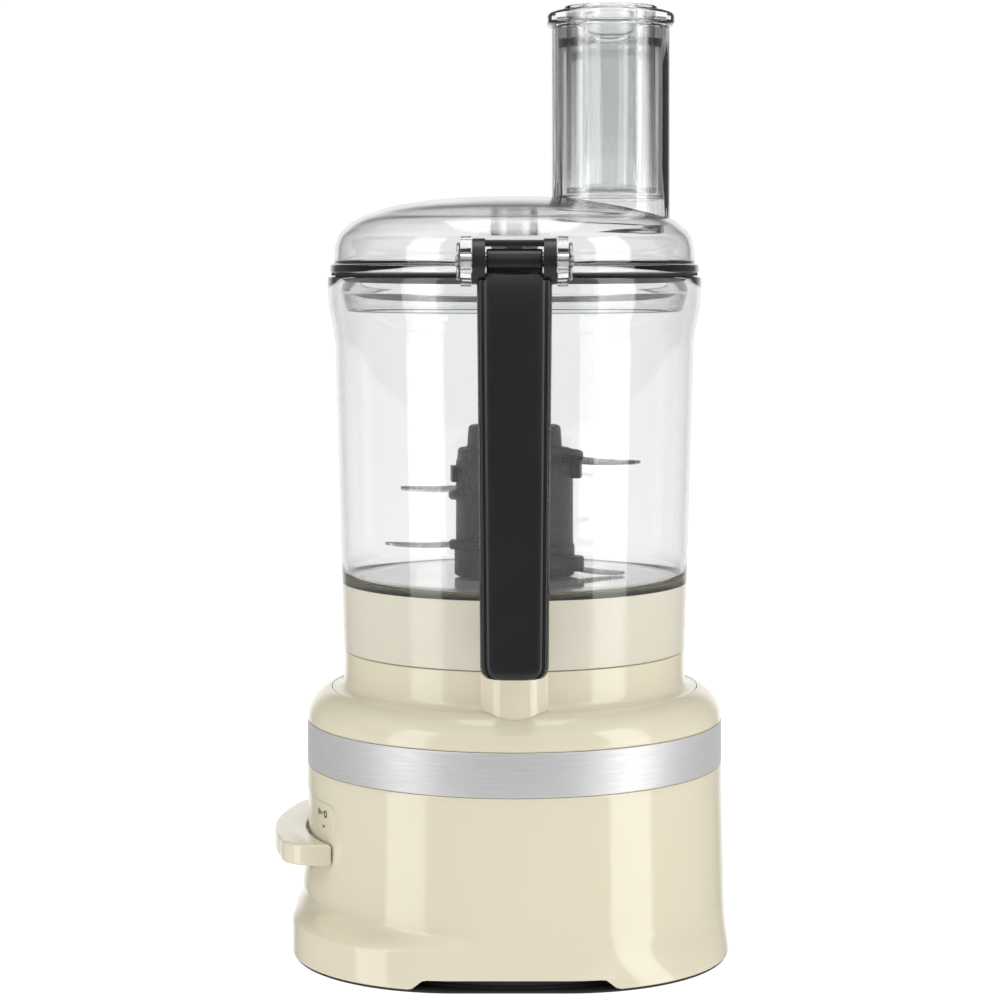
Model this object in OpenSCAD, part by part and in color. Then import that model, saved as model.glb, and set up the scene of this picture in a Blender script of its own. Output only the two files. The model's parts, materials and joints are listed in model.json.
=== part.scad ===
// Nine-cup food processor: motor base, clear bowl with handle, hinged lid with nested pushers.
// +Z is up. The origin is on the drive axis, on the surface that the feet stand on.
// The handle is on the -Y side, the control lever on the -X side, the feed tube on the +X side.

/* [Base] */
// Radius of the base at the steel band
base_r = 96.8; // [95.5:0.1:98]
// Half the width of the squarish foot
foot_half = 98.6; // [98.4:0.1:98.6]
// Corner radius of the foot
foot_corner = 76; // [72:1:80]
// Wall thickness of the cream mouldings
base_wall = 2.8; // [2.4:0.1:3]
// Height of the lower edge of the steel band
band_z = 84.3; // [83:0.1:85.5]
// Height of the steel band
band_h = 19.8; // [19:0.1:20.4]
// Radius of the neck that carries the bowl
neck_r = 79.6; // [79:0.1:80]
// Height of the ledge that the bowl stands on
ledge_z = 136.7; // [136:0.1:137]
// Radius of the drum that enters the bowl skirt
drum_r = 74.8; // [73:0.1:75.5]

/* [Control lever] */
// How far the tip of the lever stands out from the drive axis
lever_reach = 112; // [108:0.5:114]
// Half the width of the lever and of the legend plate
lever_half = 54; // [50:0.5:55]
// Thickness of the lever paddle
lever_t = 7; // [5:0.5:7.5]

/* [Bowl] */
// Outer radius at the lower edge of the skirt
bowl_foot_r = 79.9; // [79.9:0.05:80.3]
// Outer radius below the rim shoulder
bowl_top_r = 84.2; // [84:0.1:84.6]
// Outer radius of the rim
rim_r = 87.7; // [87.4:0.1:88]
// Height of the rim
rim_z = 310.5; // [310:0.1:310.5]
// Wall thickness of the bowl
bowl_wall = 2.6; // [2.4:0.1:2.7]
// Height of the underside of the bowl floor
floor_z = 167; // [166:0.1:168]

/* [Handle] */
// Width of the handle at the top
grip_top_w = 31.2; // [29:0.2:31.4]
// Width of the handle at the bottom
grip_foot_w = 28.1; // [26:0.1:29]
// Distance of the outer face from the drive axis
grip_y = 125; // [124.5:0.1:125.5]
// Depth of the handle from front to back
grip_t = 18; // [17.6:0.1:18.2]

/* [Lid] */
// Outer radius of the lid flange
flange_r = 86.6; // [86.2:0.1:86.8]
// Height of the top of the dome
dome_z = 347.9; // [347.5:0.1:348.5]
// Wall thickness of the lid
lid_wall = 2.6; // [2.2:0.1:2.8]
// Distance from the drive axis to the centre of the feed tube
tube_x = 45; // [43.5:0.1:45.5]
// Outer width of the feed tube
tube_w = 55; // [54:0.1:55.4]
// Straight length added to the round ends of the feed tube
tube_straight = 15; // [12:0.5:16]
// Height of the top of the feed tube wall
tube_top = 426.9; // [415:0.1:427]

/* [Blade] */
// Radius of the blade hub
hub_r = 27.5; // [26.6:0.1:28]
// Height of the top of the blade hub
hub_top = 240.9; // [238:0.1:244]
// Reach of the longest blade
blade_reach = 61; // [56:0.5:66]
// Thickness of the blades
blade_t = 1.6; // [1.2:0.1:2]

/* [Drive] */
// Distance between the motor axis and the drive axis
motor_x = 50; // [49.5:0.1:50.5]
// Radius of the large pulley under the belt
big_pulley_r = 37; // [35:0.1:37.5]
// Radius of the small pulley under the belt
small_pulley_r = 7; // [6:0.1:7.5]
// Radius of the drive shaft
shaft_r = 5; // [4.8:0.1:5]

/* [Hidden] */
$fn = 96;
cream = [0.86, 0.82, 0.72];
black = [0.10, 0.10, 0.10];
clear = [0.80, 0.84, 0.86, 0.35];
steel = [0.74, 0.74, 0.73];
gap = 0.3;          // between faces of different bodies
run = 0.05;         // radial clearance of a running fit
band_top = band_z + band_h;
plate_z = 34;       // underside of the motor plate
plate_t = 2.5;
plate_top = plate_z + plate_t;
boss_r = 88;        // pitch radius of the base screws
drum_top = 160.2;
foot_z = 1.2;       // height of the housing's lower edge
foot_left = 102;    // reach of the foot under the lever
lever_z = 50;       // height of the lever's pivot
lever_x = -62;      // place of the lever's pivot
floor_t = 2.8;
skirt_r_in = bowl_foot_r - bowl_wall;
hinge_y = -113;
hinge_z = 317.3;
pin_r = 2.5;
barrel_r = 5.85;
latch_y = 92.5;
latch_z = 318.5;
rod_y = -114.5;
tube_wall = 2.4;
sleeve_gap = 0.4;

// ---- shared shapes ----
function arc(cx, cy, r, a0, a1, n = 8) =
    [for (i = [0 : n]) let (a = a0 + (a1 - a0) * i / n) [cx + r * cos(a), cy + r * sin(a)]];

module tube(r_out, r_in, z0, z1) {
    difference() {
        translate([0, 0, z0]) cylinder(r = r_out, h = z1 - z0);
        translate([0, 0, z0 - 1]) cylinder(r = r_in, h = z1 - z0 + 2);
    }
}

module block(x0, x1, y0, y1, z0, z1) {
    translate([x0, y0, z0]) cube([x1 - x0, y1 - y0, z1 - z0]);
}

module rod_x(r, x0, x1, y, z) {
    translate([x0, y, z]) rotate([0, 90, 0]) cylinder(r = r, h = x1 - x0);
}

// An outline with two round ends, long along Y
module stadium(w, straight) {
    translate([0, straight / 2]) circle(d = w);
    translate([0, -straight / 2]) circle(d = w);
    translate([-w / 2, -straight / 2]) square([w, straight]);
}

module stadium_post(w, z0, z1) {
    translate([tube_x, 0, z0]) linear_extrude(z1 - z0) stadium(w, tube_straight);
}

// ---- base ----
// The squarish plan of the foot, longer towards the lever
module foot_plan(grow) {
    cy = foot_half - foot_corner;
    cl = foot_corner - foot_left;
    for (x = [cl, cy], y = [-cy, cy]) translate([x, y]) circle(r = foot_corner + grow);
    translate([cl, -foot_half - grow]) square([cy - cl, 2 * (foot_half + grow)]);
    translate([-foot_left - grow, -cy]) square([foot_left + foot_half + 2 * grow, 2 * cy]);
}

// The foot stands out as a rounded ledge on the lever's half and flares smoothly on the other
module foot_flare() {
    intersection() {
        translate([0, 0, foot_z]) linear_extrude(24.5 - foot_z) foot_plan(0);
        union() {
            cylinder(r = 125, h = 17);
            translate([0, 0, 17]) cylinder(r1 = 108, r2 = base_r + 1.3, h = 7.5);
        }
        block(-130, 0, -130, 130, 0, 30);
    }
    intersection() {
        translate([0, 0, foot_z]) linear_extrude(21) foot_plan(0);
        translate([0, 0, foot_z]) cylinder(r1 = 109, r2 = base_r + 1.4, h = 21);
        block(-0.5, 130, -130, 130, 0, 30);
    }
}

module lever_zone(x0, x1, grow, z0, z1) {
    block(x0, x1, -lever_half - grow, lever_half + grow, z0, z1);
}

module screw_bosses() {
    for (a = [45 : 90 : 315]) rotate(a) {
        translate([boss_r, 0, 7]) cylinder(r = 4.5, h = plate_z - 7);
        block(boss_r + 2, base_r - 1.6, -1.5, 1.5, 7, plate_z - 2);
    }
}

module base_housing() {
    rim_in = base_r - 1.2;
    color(cream) difference() {
        union() {
            rotate_extrude() polygon([[rim_in, foot_z], [base_r + 1.7, foot_z], [base_r + 1.5, 18],
                [base_r + 1.4, 24], [base_r + 1, 42], [base_r + 0.2, 72], [base_r, band_z],
                [base_r - 1.5, band_z], [base_r - 1.5, band_top - 0.2], [base_r - 1.5 - base_wall + 0.4, band_top - 0.2],
                [base_r - 1.4 - base_wall, band_z], [base_r + 0.2 - base_wall, 40], [base_r + 0.4 - base_wall, 24],
                [rim_in, 17]]);
            difference() {
                foot_flare();
                cylinder(r = rim_in, h = 40);
            }
            screw_bosses();
        }
        // arched cut-outs in the lower rim
        rotate([90, 0, 0]) linear_extrude(260, center = true)
            polygon([[-45.5, 1], [-39, 5.6], [39, 5.6], [45.5, 1]]);
        for (a = [45 : 90 : 315]) rotate(a) translate([boss_r, 0, 6]) cylinder(r = 1.6, h = 18);
        // shallow seat of the legend plate
        intersection() {
            tube(base_r + 3, base_r - 0.6, 54.2, 72.3);
            lever_zone(-110, -60, 0.3, 50, 80);
        }
        // slot that the lever's stem passes through
        block(-110, -80, -28.5, 28.5, 39, 54.2);
        // hole of the cord inlet
        rotate(25) rod_x(8, 80, 120, 0, 19);
    }
}

module steel_band() {
    color(steel) tube(base_r, base_r - 1.4, band_z + 0.1, band_top - 0.1);
}

module shoulder_cover() {
    r = base_r;
    z = band_top;
    color(cream) rotate_extrude() polygon([[r - 3.4, z], [r, z], [r - 0.5, z + 3.5], [r - 1.8, z + 7],
        [r - 3.9, z + 10.3], [r - 6.4, z + 12.8], [r - 9.3, z + 14.9], [85.4, z + 15.7], [85.4, z + 12.9],
        [r - 10.2, z + 12.3], [r - 7.4, z + 10], [r - 5, z + 6.6], [r - 3.6, z + 2.6]]);
}

// The nose is a half-round pillar that runs into the slope of the shoulder
module nose_outline() {
    translate([-15.5, -75]) square([31, 5]);
    intersection() {
        translate([0, -74.5]) circle(r = 15.5);
        translate([-20, -95]) square([40, 21]);
    }
}

module bowl_seat() {
    z = band_top;
    color(cream) difference() {
        union() {
            rotate_extrude() polygon([[85.2, z + 15.5], [82.2, z + 16.2], [80.5, z + 17.2], [neck_r + 0.1, z + 18.8],
                [neck_r, ledge_z], [drum_r + 0.5, ledge_z], [drum_r, ledge_z + 1], [drum_r - 0.4, drum_top - 2.4],
                [drum_r - 2.6, drum_top], [16.5, drum_top], [16.5, drum_top - 2.8], [drum_r - 3.2, drum_top - 2.8],
                [drum_r - 3.2, ledge_z - 2.8], [neck_r - 2.8, ledge_z - 2.8], [neck_r - 2.8, z + 16],
                [78, z + 14.4], [85.2, z + 12.9]]);
            difference() {
                translate([0, 0, z + 15.8]) linear_extrude(139.2 - z - 15.8) nose_outline();
                cylinder(r = 77, h = 200);
                // the nose stays out of the bowl's skirt
                translate([0, 0, ledge_z]) cylinder(r = bowl_foot_r + 1.1, h = 10);
            }
        }
        translate([0, -86, 120]) cylinder(r = 2.6, h = 30);
    }
}

module bottom_plate() {
    color([0.22, 0.22, 0.22]) difference() {
        translate([0, 0, 2.2]) cylinder(r = base_r - 2.4, h = 2.8);
        for (a = [45 : 90 : 315]) rotate(a) translate([boss_r, 0, 0]) cylinder(r = 1.8, h = 10);
        for (x = [-3 : 3]) block(x * 8 + motor_x - 2, x * 8 + motor_x + 2, -26, 26, 0, 10);
    }
}

module foot_ring() {
    color([0.15, 0.15, 0.15]) difference() {
        union() {
            linear_extrude(foot_z - 0.2) foot_plan(-1.2);
            cylinder(r = base_r - 2.6, h = 2.2);
        }
        translate([0, 0, -1]) cylinder(r = base_r - 13, h = 5);
        for (a = [45 : 90 : 315]) rotate(a) translate([boss_r, 0, -1]) cylinder(r = 4, h = 5);
    }
}

module base_screws() {
    color(steel) for (a = [45 : 90 : 315]) rotate(a) translate([boss_r, 0, 0]) difference() {
        union() {
            translate([0, 0, 0.7]) cylinder(r = 3.2, h = 1.5);
            translate([0, 0, 2]) cylinder(r = 1.5, h = 18);
        }
        block(-2.2, 2.2, -0.4, 0.4, 0, 1.3);
        block(-0.4, 0.4, -2.2, 2.2, 0, 1.3);
    }
}

module cord_inlet() {
    color(black) rotate(25) translate([0, 0, 19]) rotate([0, 90, 0]) difference() {
        union() {
            translate([0, 0, base_r - 6]) cylinder(r = 7.9, h = 6.6);
            translate([0, 0, base_r - 8.6]) cylinder(r = 9.6, h = 2.8);
        }
        cylinder(r = 3.6, h = 200);
    }
}

// ---- motor and drive ----
module motor_plate() {
    color(steel) difference() {
        translate([0, 0, plate_z]) cylinder(r = 90.5, h = plate_t);
        translate([0, 0, plate_z - 1]) cylinder(r = 11.4, h = plate_t + 2);
        translate([motor_x, 0, plate_z - 1]) cylinder(r = 9, h = plate_t + 2);
        for (a = [90, 180, 270]) rotate(a) translate([58, 0, plate_z - 1]) cylinder(r = 11, h = plate_t + 2);
    }
}

module motor_can() {
    color([0.45, 0.46, 0.47]) translate([motor_x, 0, 0]) difference() {
        translate([0, 0, plate_top]) cylinder(r = 31, h = 55);
        translate([0, 0, plate_top + 2]) cylinder(r = 29.4, h = 60);
        translate([0, 0, plate_top - 1]) cylinder(r = 3 + run, h = 10);
        for (a = [0, 180]) rotate(a) block(25, 35, -5, 5, plate_top + 4, plate_top + 10);
    }
}

module field_magnets() {
    color([0.25, 0.25, 0.26]) translate([motor_x, 0, 0]) difference() {
        tube(29.3, 22.5, plate_top + 16, plate_top + 48);
        block(-40, 40, -7, 7, 0, 120);
    }
}

module motor_end_cap() {
    z = plate_top + 55;
    color([0.20, 0.20, 0.21]) translate([motor_x, 0, 0]) difference() {
        union() {
            translate([0, 0, z]) cylinder(r = 31, h = 3);
            translate([0, 0, z - 3]) cylinder(r = 9, h = 8);
            tube(29.2, 27, z - 4, z + 1);
        }
        translate([0, 0, z - 10]) cylinder(r = 3 + run, h = 30);
        for (a = [30 : 60 : 330]) rotate(a) translate([19, 0, z - 1]) cylinder(r = 5, h = 6);
    }
}

module carbon_brushes() {
    color([0.18, 0.17, 0.17]) translate([motor_x, 0, 0]) for (a = [0, 180]) rotate(a)
        block(9.4, 30.6, -3, 3, plate_top + 5, plate_top + 9);
}

module armature() {
    poles = 10;
    z = plate_top + 16;
    color([0.62, 0.40, 0.22]) translate([motor_x, 0, 0]) difference() {
        union() {
            translate([0, 0, z]) cylinder(r = 21.8, h = 32);
            translate([0, 0, z - 4]) cylinder(r = 17, h = 39);
        }
        translate([0, 0, z - 10]) cylinder(r = 3, h = 60);
        for (i = [0 : poles - 1]) rotate(i * 360 / poles) block(14, 30, -1.2, 1.2, z - 1, z + 33);
    }
}

module commutator() {
    color([0.72, 0.45, 0.20]) translate([motor_x, 0, 0]) tube(9, 3, plate_top + 3, plate_top + 11.6);
}

module motor_shaft() {
    color(steel) translate([motor_x, 0, 11]) cylinder(r = 3, h = 94);
}

module cooling_fan() {
    blades_n = 9;
    z = plate_top + 60;
    color([0.85, 0.85, 0.83]) translate([motor_x, 0, 0]) difference() {
        union() {
            translate([0, 0, z]) cylinder(r = 26, h = 1.6);
            translate([0, 0, z]) cylinder(r = 6, h = 8);
            for (i = [0 : blades_n - 1]) rotate(i * 360 / blades_n) block(5, 25, -0.8, 0.8, z + 0.5, z + 9);
        }
        translate([0, 0, z - 1]) cylinder(r = 3, h = 20);
    }
}

module pulley(r, bore, z0, z1) {
    difference() {
        union() {
            translate([0, 0, z0]) cylinder(r = r, h = z1 - z0);
            translate([0, 0, z0]) cylinder(r = r + 3, h = 1);
            translate([0, 0, z1 - 1]) cylinder(r = r + 3, h = 1);
        }
        translate([0, 0, z0 - 1]) cylinder(r = bore, h = z1 - z0 + 2);
    }
}

module small_pulley() {
    color(steel) translate([motor_x, 0, 0]) pulley(small_pulley_r, 3, 12, 24);
}

module large_pulley() {
    color([0.30, 0.30, 0.30]) difference() {
        pulley(big_pulley_r, shaft_r, 12, 24);
        for (a = [0 : 60 : 300]) rotate(a) translate([21, 0, 0]) cylinder(r = 7, h = 40);
    }
}

// Outline of a belt that runs round both pulleys, at a distance d from them
module belt_outline(d) {
    r1 = big_pulley_r + d;
    r2 = small_pulley_r + d;
    a = acos((r1 - r2) / motor_x);
    circle(r = r1);
    translate([motor_x, 0]) circle(r = r2);
    polygon([r1 * [cos(a), sin(a)], [motor_x, 0] + r2 * [cos(a), sin(a)],
        [motor_x, 0] + r2 * [cos(a), -sin(a)], r1 * [cos(a), -sin(a)]]);
}

module drive_belt() {
    color(black) translate([0, 0, 13.5]) linear_extrude(9) difference() {
        belt_outline(gap + 1.8);
        belt_outline(gap);
    }
}

module drive_shaft() {
    color(steel) union() {
        translate([0, 0, 8]) cylinder(r = shaft_r, h = 192);
        translate([0, 0, 199]) cylinder(r = shaft_r, h = 15, $fn = 6);
    }
}

module shaft_bearings() {
    color([0.66, 0.66, 0.68]) {
        tube(11, shaft_r + run, 38, 46);
        tube(11, shaft_r + run, 144, 152);
    }
}

module bearing_tube() {
    color([0.55, 0.55, 0.56]) difference() {
        union() {
            translate([0, 0, plate_top]) cylinder(r = 13.8, h = 119);
            translate([0, 0, plate_top]) cylinder(r = 17.5, h = 3);
            translate([0, 0, drum_top - 5.8]) cylinder(r = 20, h = 2.8);
        }
        translate([0, 0, plate_top - 1]) cylinder(r = 8.4, h = 150);
        translate([0, 0, plate_top - 1]) cylinder(r = 11, h = 11);
        translate([0, 0, 143.5]) cylinder(r = 11, h = 20);
    }
}

module shaft_seal() {
    color(black) difference() {
        union() {
            translate([0, 0, drum_top - 3]) cylinder(r = 16.4, h = 2.6);
            translate([0, 0, 153]) cylinder(r = 10.8, h = 5);
        }
        translate([0, 0, 150]) cylinder(r = shaft_r + gap, h = 20);
    }
}

module control_board() {
    color([0.10, 0.35, 0.20]) {
        block(-30, 22, 60, 61.6, plate_top, 92);
        block(-22, -2, 61.6, 71, 42, 58);
        translate([8, 61.6, 70]) rotate([-90, 0, 0]) cylinder(r = 7, h = 12);
        block(-24, -12, 54, 60, 66, 80);
    }
}

module speed_switch() {
    color([0.12, 0.12, 0.13]) {
        block(-52, -42, -18, 18, plate_top, 53);
        for (y = [-12, 0, 12]) block(-53.2, -52, y - 2, y + 2, 48, 51);
    }
}

// ---- control lever ----
module lever_bracket() {
    color([0.20, 0.20, 0.20]) difference() {
        for (s = [-1, 1]) block(lever_x - 7, lever_x + 7, s * 29.5 - 2, s * 29.5 + 2, plate_top, lever_z + 6);
        translate([lever_x, 60, lever_z]) rotate([90, 0, 0]) cylinder(r = 2, h = 120);
    }
}

module lever_pivot() {
    color(steel) translate([lever_x, 31.5, lever_z]) rotate([90, 0, 0]) cylinder(r = 2, h = 63);
}

// The paddle seen from above: a shallow arc through the tip, with round corners at both ends
module paddle_plan() {
    r = 130;
    corner = 12;
    edge = lever_half - corner;
    corner_x = r - lever_reach - sqrt(r * r - edge * edge) + corner;
    intersection() {
        translate([r - lever_reach, 0]) circle(r = r);
        union() {
            translate([-130, -edge]) square([70, 2 * edge]);
            translate([corner_x, -lever_half]) square([-60 - corner_x, 2 * lever_half]);
            for (s = [-1, 1]) translate([corner_x, s * edge]) circle(r = corner);
        }
    }
}

module control_lever() {
    stem_w = 52;
    top_z = lever_z + 3.6;
    color([0.80, 0.76, 0.66]) difference() {
        union() {
            translate([lever_x, stem_w / 2, lever_z]) rotate([90, 0, 0]) cylinder(r = 5, h = stem_w);
            block(-base_r - 2.4, lever_x, -stem_w / 2, stem_w / 2, lever_z - 4, lever_z - 0.5);
            difference() {
                translate([0, 0, top_z - lever_t]) linear_extrude(lever_t) paddle_plan();
                cylinder(r = base_r + 1.8, h = 100);
                block(-40, 200, -100, 100, 0, 100);
            }
        }
        translate([lever_x, 60, lever_z]) rotate([90, 0, 0]) cylinder(r = 2 + run, h = 120);
    }
}

module legend_plate() {
    color([0.80, 0.78, 0.70]) intersection() {
        tube(base_r + 0.4, base_r - 0.6, 54.4, 72.1);
        lever_zone(-110, -60, 0, 50, 80);
    }
}

// ---- interlock ----
module interlock_switch() {
    color([0.15, 0.15, 0.16]) translate([0, -86, 0]) {
        translate([0, 0, 121]) cylinder(r = 2.4, h = 15.4);
    }
}

module interlock_slider() {
    color([0.85, 0.85, 0.82]) union() {
        block(-2.5, 2.5, rod_y - 1.5, rod_y + 1.5, 146, 299);
        block(-2.5, 2.5, rod_y - 1.5, -83.6, 146, 149.5);
        translate([0, -86, 137]) cylinder(r = 2, h = 10);
    }
}

// ---- bowl ----
function cone_r(z) = bowl_foot_r + (bowl_top_r - bowl_foot_r) * (z - 137) / (280.8 - 137);
function rim_outline(d) = [[cone_r(280.8) - d, 280.8], [cone_r(280.8) + 0.7 - d, 286.4],
    [rim_r - 1.7 - d, 292], [rim_r - 0.7 - d, 297.7], [rim_r - d, rim_z - 1.2]];

module bowl_outer() {
    rotate_extrude() polygon(concat([[0, 137], [bowl_foot_r, 137]], rim_outline(0),
        [[rim_r - 0.5, rim_z], [0, rim_z]]));
}

module bowl_inner() {
    rotate_extrude() polygon(concat([[0, floor_z + floor_t], [cone_r(floor_z) - bowl_wall - 4, floor_z + floor_t],
        [cone_r(floor_z + 8) - bowl_wall, floor_z + floor_t + 4]], rim_outline(bowl_wall),
        [[rim_r - bowl_wall + 0.2, rim_z + 1], [0, rim_z + 1]]));
}

module bowl_shell() {
    color(clear) difference() {
        union() {
            difference() {
                bowl_outer();
                bowl_inner();
                translate([0, 0, 130]) cylinder(r = skirt_r_in, h = floor_z - 130);
            }
            translate([0, 0, floor_z]) cylinder(r = 11.5, h = 31);
            // lug that the lid latch holds
            intersection() {
                block(-10, 10, 80, 89.6, 296, 300);
                tube(120, cone_r(280.8), 290, 305);
            }
        }
        translate([0, 0, floor_z - 5]) cylinder(r = 9, h = 60);
    }
}

// Front outline of the handle, wider at the top, grown by g on every side
module grip_outline(g) {
    z0 = 139.8;
    z1 = 311.5;
    w0 = grip_foot_w / 2 + g;
    w1 = grip_top_w / 2 + g;
    r = 7;
    polygon(concat(arc(-w0 + r, z0 - g + r, r, 180, 270), arc(w0 - r, z0 - g + r, r, 270, 360),
        [[w1, z1 + g], [-w1, z1 + g]]));
}

module grip_slab(g, y0, y1) {
    translate([0, y1, 0]) rotate([90, 0, 0]) linear_extrude(y1 - y0) grip_outline(g);
}

// The discs of the hinge yoke turn in front of the handle's top
module yoke_room() {
    for (s = [-1, 1]) rod_x(10.5, min(s * 12.2, s * 30), max(s * 12.2, s * 30), hinge_y, hinge_z);
    rod_x(barrel_r + 0.02, -40, 40, hinge_y, hinge_z);
}

// Rounds the top of the handle towards the hinge
module top_roll() {
    difference() {
        block(-40, 40, -grip_y - 1, -grip_y + 13, 300, 330);
        rod_x(13, -41, 41, -grip_y + 13, 300);
    }
}

module handle_frame() {
    color(clear) difference() {
        union() {
            grip_slab(0.4, -grip_y + 8, -grip_y + 14);
            block(-12, 12, -grip_y + 8, -80, 290, 305);
            block(-12, 12, -grip_y + 8, -76, 142, 160);
        }
        bowl_outer();
        translate([0, 0, 140]) cylinder(r = 79, h = 60);
        yoke_room();
        // channel of the interlock slider
        block(-3, 3, rod_y - 2, rod_y + 2, 130, 303);
        block(-3, 3, rod_y - 2, -82.8, 130, 153.5);
    }
}

module handle_cover() {
    color(black) difference() {
        grip_slab(0, -grip_y, -grip_y + 7.9);
        yoke_room();
        top_roll();
        // chamfered sides of the front face
        for (s = [-1, 1]) translate([s * grip_top_w / 2, -grip_y, 0]) rotate(45) block(-2, 2, -2, 2, 130, 320);
    }
}

module handle_back() {
    color(black) difference() {
        grip_slab(0, -grip_y + 14.1, -grip_y + grip_t);
        yoke_room();
        block(-12.1, 12.1, -130, -100, 289.9, 305.1);
        block(-12.1, 12.1, -130, -100, 141.9, 160.1);
        block(-3.2, 3.2, rod_y - 2, -80, 130, 142);
    }
}

module hinge_barrel() {
    color(black) difference() {
        rod_x(barrel_r, -12, 12, hinge_y, hinge_z);
        rod_x(pin_r + run, -40, 40, hinge_y, hinge_z);
    }
}

// ---- lid ----
function dome_outline(d) = [[84.4 - d, 318.6], [84.1 - d, 324.4], [82.2 - d * 0.9, 329.8 - d * 0.4],
    [78.4 - d * 0.75, 334 - d * 0.65], [70.8 - d * 0.5, 338.8 - d * 0.85], [59.6 - d * 0.3, 343 - d],
    [44.4 - d * 0.2, 345.9 - d], [19.6, dome_z - 0.4 - d], [0, dome_z - d]];

module dome_outer() {
    rotate_extrude() polygon(concat([[0, 312.3], [flange_r, 312.3], [flange_r, 316.1]], dome_outline(0)));
}

module lid_shell() {
    color(clear) difference() {
        union() {
            difference() {
                union() {
                    dome_outer();
                    rotate_extrude() polygon([[0, 294.3], [78.4, 294.3], [79.2, 296], [81.2, 303], [81.2, 313],
                        [0, 313]]);
                }
                rotate_extrude() polygon(concat([[0, 290], [76.4, 290], [76.8, 296], [78.8, 303], [78.8, 312]],
                    [[84.4 - lid_wall - 2.6, 316]], dome_outline(lid_wall + 0.4)));
            }
            tube(11, 8.4, 333, 346);
            // arms to the hinge
            for (s = [-1, 1]) difference() {
                union() {
                    rod_x(10, min(s * 18.2, s * 22.4), max(s * 18.2, s * 22.4), hinge_y, hinge_z);
                    block(min(s * 18.2, s * 22.4), max(s * 18.2, s * 22.4), hinge_y, -80, 312.4, 320);
                }
                cylinder(r = 82, h = 400);
            }
            // lugs that carry the latch
            for (s = [-1, 1]) difference() {
                union() {
                    rod_x(4, min(s * 12.6, s * 16), max(s * 12.6, s * 16), latch_y, latch_z);
                    block(min(s * 12.6, s * 16), max(s * 12.6, s * 16), 80, latch_y, 314.5, 322.5);
                }
                cylinder(r = 82, h = 400);
            }
        }
        rod_x(pin_r, -40, 40, hinge_y, hinge_z);
        rod_x(1.5, -40, 40, latch_y, latch_z);
        stadium_post(tube_w - 2 * tube_wall, 300, 360);
    }
}

module feed_tube() {
    color(clear) difference() {
        stadium_post(tube_w, 318, tube_top);
        stadium_post(tube_w - 2 * tube_wall, 300, 440);
        dome_outer();
    }
}

module lid_gasket() {
    color(black) rotate_extrude() polygon([[81.3, 306.8], [83.9, 307.2], [84.1, 310.8], [86, 310.8],
        [86, 312.2], [81.3, 312.2]]);
}

module hinge_yoke() {
    color(black) difference() {
        union() {
            for (s = [-1, 1]) {
                rod_x(10, min(s * 12.6, s * 18), max(s * 12.6, s * 18), hinge_y, hinge_z);
                block(min(s * 12.6, s * 18), max(s * 12.6, s * 18), hinge_y, -88.6, 313, 321);
            }
            block(-18, 18, hinge_y - 2, hinge_y + 6, 323.7, 326.6);
        }
        rod_x(pin_r, -40, 40, hinge_y, hinge_z);
        cylinder(r = 88, h = 400);
        rod_x(barrel_r + gap, -12.4, 12.4, hinge_y, hinge_z);
    }
}

module hinge_pin() {
    color(steel) rod_x(pin_r, -25.5, 25.5, hinge_y, hinge_z);
}

module hinge_clips() {
    color([0.90, 0.90, 0.88]) for (s = [-1, 1]) difference() {
        rod_x(8.3, min(s * 22.5, s * 24.5), max(s * 22.5, s * 24.5), hinge_y, hinge_z);
        rod_x(pin_r, -40, 40, hinge_y, hinge_z);
        block(-30, 30, hinge_y, hinge_y + 20, hinge_z - 1.6, hinge_z + 1.6);
    }
}

module lid_latch() {
    color(black) difference() {
        union() {
            rod_x(3.6, -12, 12, latch_y, latch_z);
            block(-12, 12, 90.8, 94.2, 291.5, 328);
            block(-12, 12, 90.1, 92, 291.5, 295);
        }
        rod_x(1.5 + run, -40, 40, latch_y, latch_z);
    }
}

module latch_pin() {
    color(steel) rod_x(1.5, -16.5, 16.5, latch_y, latch_z);
}

// ---- pushers ----
module large_pusher() {
    sleeve_w = tube_w - 2 * tube_wall - 2 * sleeve_gap;
    color(clear) difference() {
        union() {
            stadium_post(sleeve_w, 346, tube_top + 2);
            stadium_post(tube_w + 4.6, tube_top + 0.4, tube_top + 7.5);
        }
        stadium_post(42.6, 340, 450);
    }
}

module medium_pusher() {
    color(clear) difference() {
        union() {
            stadium_post(41.8, 349, tube_top + 8.3);
            stadium_post(43.6, tube_top + 7.8, tube_top + 9.7);
        }
        difference() {
            stadium_post(37.8, 351.4, tube_top + 6.6);
            translate([tube_x, 0, 349]) cylinder(r = 16.4, h = 100);
        }
        translate([tube_x, 0, 340]) cylinder(r = 14.4, h = 120);
    }
}

module small_pusher() {
    color(clear) translate([tube_x, 0, 0]) difference() {
        union() {
            translate([0, 0, 350]) cylinder(r = 14, h = tube_top + 10.2 - 350);
            translate([0, 0, tube_top + 9.9]) cylinder(r = 17, h = 0.7);
        }
        translate([0, 0, 352.2]) cylinder(r = 12, h = 100);
    }
}

// ---- blade ----
module drive_adapter() {
    color([0.88, 0.88, 0.86]) difference() {
        union() {
            translate([0, 0, 171.5]) cylinder(r = 15, h = 44.5);
            translate([0, 0, 215]) cylinder(r = 8, h = 8);
        }
        translate([0, 0, 170]) cylinder(r = 12, h = 32);
        translate([0, 0, 196]) cylinder(r = shaft_r + run, h = 7);
        translate([0, 0, 200]) cylinder(r = shaft_r + 0.15, h = 15, $fn = 6);
    }
}

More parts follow.
